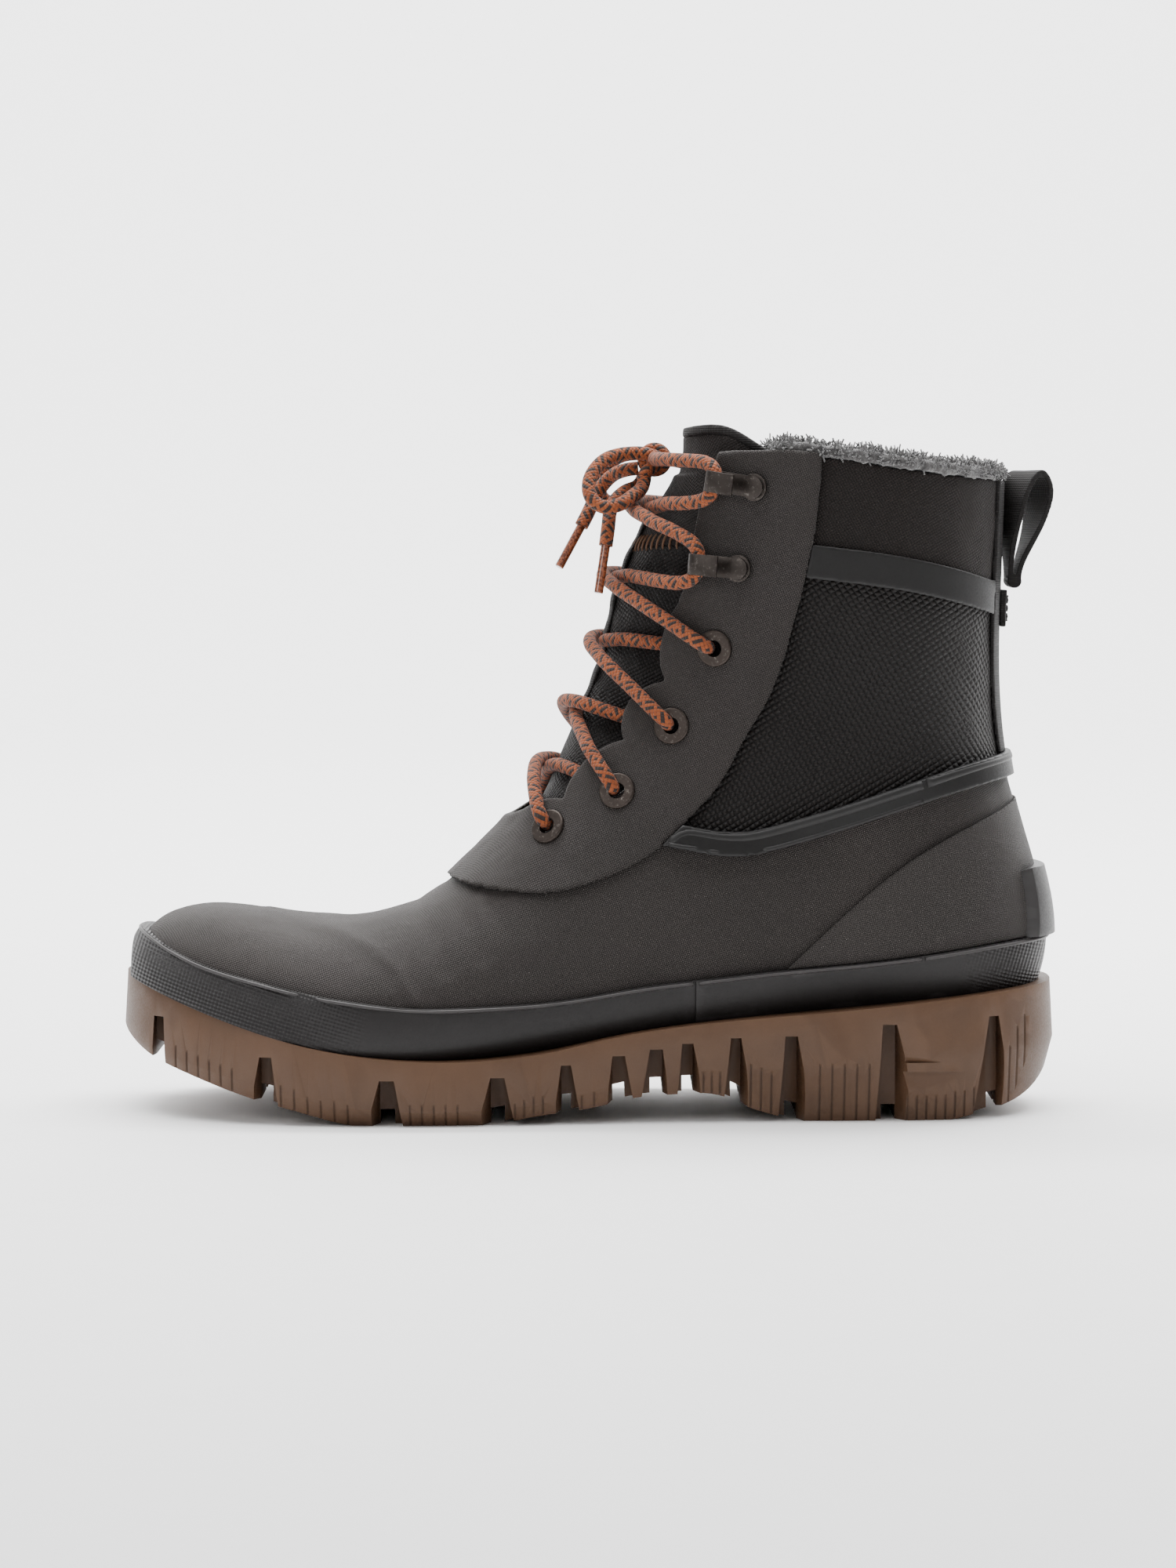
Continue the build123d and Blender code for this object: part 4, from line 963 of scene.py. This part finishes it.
def fan(x, first, last, radius):
    """Rays from a half circle round (x, 0) inwards, as (start, direction)."""
    return [((x + RAY_START * math.cos(a), RAY_START * math.sin(a)), (-math.cos(a), -math.sin(a)))
            for a in frange(first, last, -BAND_STEP / radius)]


def stations_round():
    """Rays towards the boot from all round it: outer side, toe, inner side and heel."""
    stations = [((x, -RAY_START), (0.0, 1.0)) for x in frange(ROUND_HEEL, ROUND_TOE, -BAND_STEP)]
    stations += fan(ROUND_TOE, -math.pi / 2, -1.5 * math.pi, TOE_RADIUS)
    stations += [((x, RAY_START), (0.0, -1.0)) for x in frange(ROUND_TOE, ROUND_HEEL, BAND_STEP)]
    stations += fan(ROUND_HEEL, math.pi / 2, -math.pi / 2, HEEL_RADIUS)
    return stations


def band_line(node, top):
    """Points along a band's top or bottom edge, round the outside of the boot."""
    tree = tree_of(node)
    low, high = [c * 1000 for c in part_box(node)]
    line = []
    for (x, y), (dx, dy) in stations_round():
        def hit(z):
            return tree.ray_cast(Vector((x, y, z)) * MM, Vector((dx, dy, 0)), 0.199)

        inside = [z for z in frange(low.z + 0.2, high.z, 1.0) if hit(z)[0] is not None]
        if not inside:
            line.append(None)
            continue
        good = max(inside) if top else min(inside)
        bad = good + (1.0 if top else -1.0)
        for _ in range(7):
            z = (good + bad) / 2
            if hit(z)[0] is not None:
                good = z
            else:
                bad = z
        place, normal = hit(good)[:2]
        line.append((place, normal if normal.dot(Vector((dx, dy, 0))) < 0 else -normal))
    return line


def runs_of(line):
    """The unbroken stretches of a line that has gaps."""
    run, runs = [], []
    for item in line + [None]:
        if item is None or (run and (item[0] - run[-1][0]).length > 9 * MM):
            if len(run) > 3:
                runs.append(run)
            run = []
        if item is not None:
            run.append(item)
    return runs


# name: node, top edge or not, drop, radius, flatness, how far it stands out, material, slot
BEADS = {
    # the foxing lips use foxing_lip, a lighter copy of the foxing rubber painted in as a highlight
    "foxing_lip_front": ("front_foxing", True, 0.9, 1.1, 0.6, -0.1, "foxing_lip", "foxing_rubber"),
    "foxing_lip_heel": ("heel_foxing", True, 0.9, 1.1, 0.6, -0.1, "foxing_lip", "foxing_rubber"),
    "trim_ridge_top": ("shell_trim", True, 1.9, 1.9, 1.0, -1.2, "welded_strip", "welded_strip"),
    "trim_ridge_low": ("shell_trim", False, -0.9, 0.9, 1.0, -0.5, "welded_strip", "welded_strip"),
}


def add_bead(name, node, top, drop, radius, flat, stand, material, slot):
    """A raised rounded lip along the edge of a band."""
    data = ([], [], [])
    for run in runs_of(band_line(node, top)):
        points = [p + n * stand * MM - Vector((0, 0, drop * MM)) for p, n in run]
        points = smoothed(smoothed(points))
        sweep(data, points, radius * MM, sides=10, flat=flat)
    new_object(name, built(name, data), "boot", slot, material)


def add_whip_stitches():
    """The row of stitches that holds the tongue's mesh to its upper cloth."""
    tree = tree_of("tongue_mesh", "tongue_cloth")
    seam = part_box("tongue_cloth")[0].z
    data = ([], [], [])
    for k in range(-11, 12):
        y = k * 1.9 * MM
        z_mid = seam + (0.5 + abs(k) * 0.12) * MM
        points = []
        for t in (-1, -0.6, 0, 0.6, 1):
            origin = Vector((-0.1, y + t * 0.25 * MM, z_mid + t * 2.6 * MM))
            place = tree.ray_cast(origin, Vector((1, 0, 0)), 0.3)[0]
            if place is not None:
                points.append(place + Vector((-1, 0, 0)) * (0.45 - 0.7 * abs(t) ** 3) * MM)
        if len(points) == 5:
            sweep(data, points, 0.42 * MM, sides=8)
    new_object("tongue_whip_stitches", built("whip", data), "boot", "mesh_fabric", "stitch_brown")


def add_loop_stitches():
    """The box of stitches that holds the pull loop's anchor."""
    tree = tree_of("loop_anchor")
    low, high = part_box("loop_anchor")
    data = ([], [], [])
    corners = [(low.y + 2 * MM, low.z + 2 * MM), (high.y - 2 * MM, low.z + 2 * MM),
               (high.y - 2 * MM, high.z - 2 * MM), (low.y + 2 * MM, high.z - 2 * MM)]
    for (y0, z0), (y1, z1) in zip(corners, corners[1:] + corners[:1]):
        count = max(2, int(math.hypot(y1 - y0, z1 - z0) / (2.2 * MM)))
        for k in range(count):
            points = []
            for t in (0.1, 0.5, 0.9):
                share = (k + t) / count
                origin = Vector((0.25, y0 + (y1 - y0) * share, z0 + (z1 - z0) * share))
                place = tree.ray_cast(origin, Vector((-1, 0, 0)), 0.3)[0]
                if place is not None:
                    points.append(place + Vector((0.3 if t == 0.5 else 0.05, 0, 0)) * MM)
            if len(points) == 3:
                sweep(data, points, 0.3 * MM, sides=6)
    new_object("loop_anchor_stitches", built("anchor", data), "boot", "webbing", "stitch_thread")


# ---------------------------------------------------------------- outsole and hard parts
# grooves on each lug: where they start and end in x, how many, how high above the tread they reach
GROOVES = [(-136, -113, 6, 6.0), (-101, -75, 6, 6.0), (-59, -40, 5, 6.0), (-25, -13, 4, 5.0),
           (-4, 4, 2, 4.0), (36, 44, 3, 6.0), (51, 61, 3, 14.0), (73, 93, 5, 19.0), (102, 127, 8, 7.5),
           (136, 146.5, 4, 18.0)]
GROOVE_WIDTH = 0.7
GROOVE_DEPTH = 0.55
GROOVE_END_DEPTH = 0.2 * GROOVE_DEPTH      # a groove runs out at its upper end
CUTTER_STANDS = 3.0                        # how far a cutter stands out of the lug

# width of the rounded edges on each hard part, in mm
EDGE_WIDTHS = {"heel_tab": 0.5, "lace_hooks_outer": 0.35, "lace_hooks_inner": 0.35,
               "hook_rivets_outer": 0.7, "hook_rivets_inner": 0.7, "front_foxing": 0.3,
               "heel_foxing": 0.4}


def groove(data, tree, x, side, reach):
    """Adds a closed cutter that follows a lug's side up from its lower edge."""
    hits = []
    for z in frange(0.2, 34.0, 1.2):
        place = tree.ray_cast(Vector((x, side * 90, z)) * MM, Vector((0, -side, 0)), 0.06)[0]
        if place is not None:
            hits.append(place * 1000)
        if hits and z > hits[0].z + reach:
            break
    if len(hits) < 3:
        return
    verts, faces, uvs = data
    start = len(verts)
    low, high = hits[0].z - 4, hits[-1].z
    profile = [(hits[0].y, low)] + [(p.y, p.z) for p in hits]
    for y, z in profile:
        depth = GROOVE_END_DEPTH if z == high else GROOVE_DEPTH
        for dx, dy in ((-0.5, CUTTER_STANDS), (0.5, CUTTER_STANDS), (0.5, -depth), (-0.5, -depth)):
            verts.append(Vector((x + dx * GROOVE_WIDTH, y + side * dy, z)) * MM)
    rows = len(profile)
    for r in range(rows - 1):
        for k in range(4):
            a, b = start + r * 4 + k, start + r * 4 + (k + 1) % 4
            faces.append((a, b, b + 4, a + 4))
    faces.append(tuple(start + k for k in (3, 2, 1, 0)))
    faces.append(tuple(start + (rows - 1) * 4 + k for k in range(4)))
    uvs.extend([[(0, 0)] * 4] * (4 * (rows - 1) + 2))


def add_outsole():
    """The outsole with its fine side grooves cut in and its moulded edges rounded."""
    tree = tree_of("outsole")
    data = ([], [], [])
    for start, end, count, reach in GROOVES:
        for k in range(count):
            for side in (-1, 1):
                groove(data, tree, start + (end - start) * (k + 0.5) / count, side, reach)
    cutter_mesh = built("grooves", data)
    bm = bmesh.new()
    bm.from_mesh(cutter_mesh)
    bmesh.ops.recalc_face_normals(bm, faces=bm.faces)
    bm.to_mesh(cutter_mesh)
    bm.free()
    cutter = bpy.data.objects.new("grooves", cutter_mesh)
    bpy.context.collection.objects.link(cutter)
    mesh = applied(joined("outsole"),
                   ("BOOLEAN", {"object": cutter, "operation": "DIFFERENCE", "solver": "EXACT"}),
                   ("WELD", {"merge_threshold": 4e-6}),
                   ("BEVEL", {"width": 0.35 * MM, "segments": 2, "limit_method": "ANGLE",
                              "angle_limit": math.radians(40)}))
    bpy.data.objects.remove(cutter)
    new_object("outsole_tread", mesh, "boot", "outsole_rubber", "outsole_rubber", "outsole")


def soften_hard_parts():
    """Small rounded edges on the moulded and metal parts."""
    for node, width in EDGE_WIDTHS.items():
        obj = NODES[node]
        weld = obj.modifiers.new("weld", "WELD")
        weld.merge_threshold = WELD_DISTANCE
        bevel = obj.modifiers.new("bevel", "BEVEL")
        bevel.width, bevel.segments = width * MM, 2
        bevel.limit_method, bevel.angle_limit = "ANGLE", math.radians(38)
        for face in obj.data.polygons:
            face.use_smooth = True


# ---------------------------------------------------------------- the scene
add_camera()
add_cords()
add_studio()
add_lace()
add_outsole()
soften_hard_parts()
add_upper()
add_tongue()
add_linings()
add_pull_loop()
for name, details in BEADS.items():
    add_bead(name, *details)
add_whip_stitches()
add_loop_stitches()
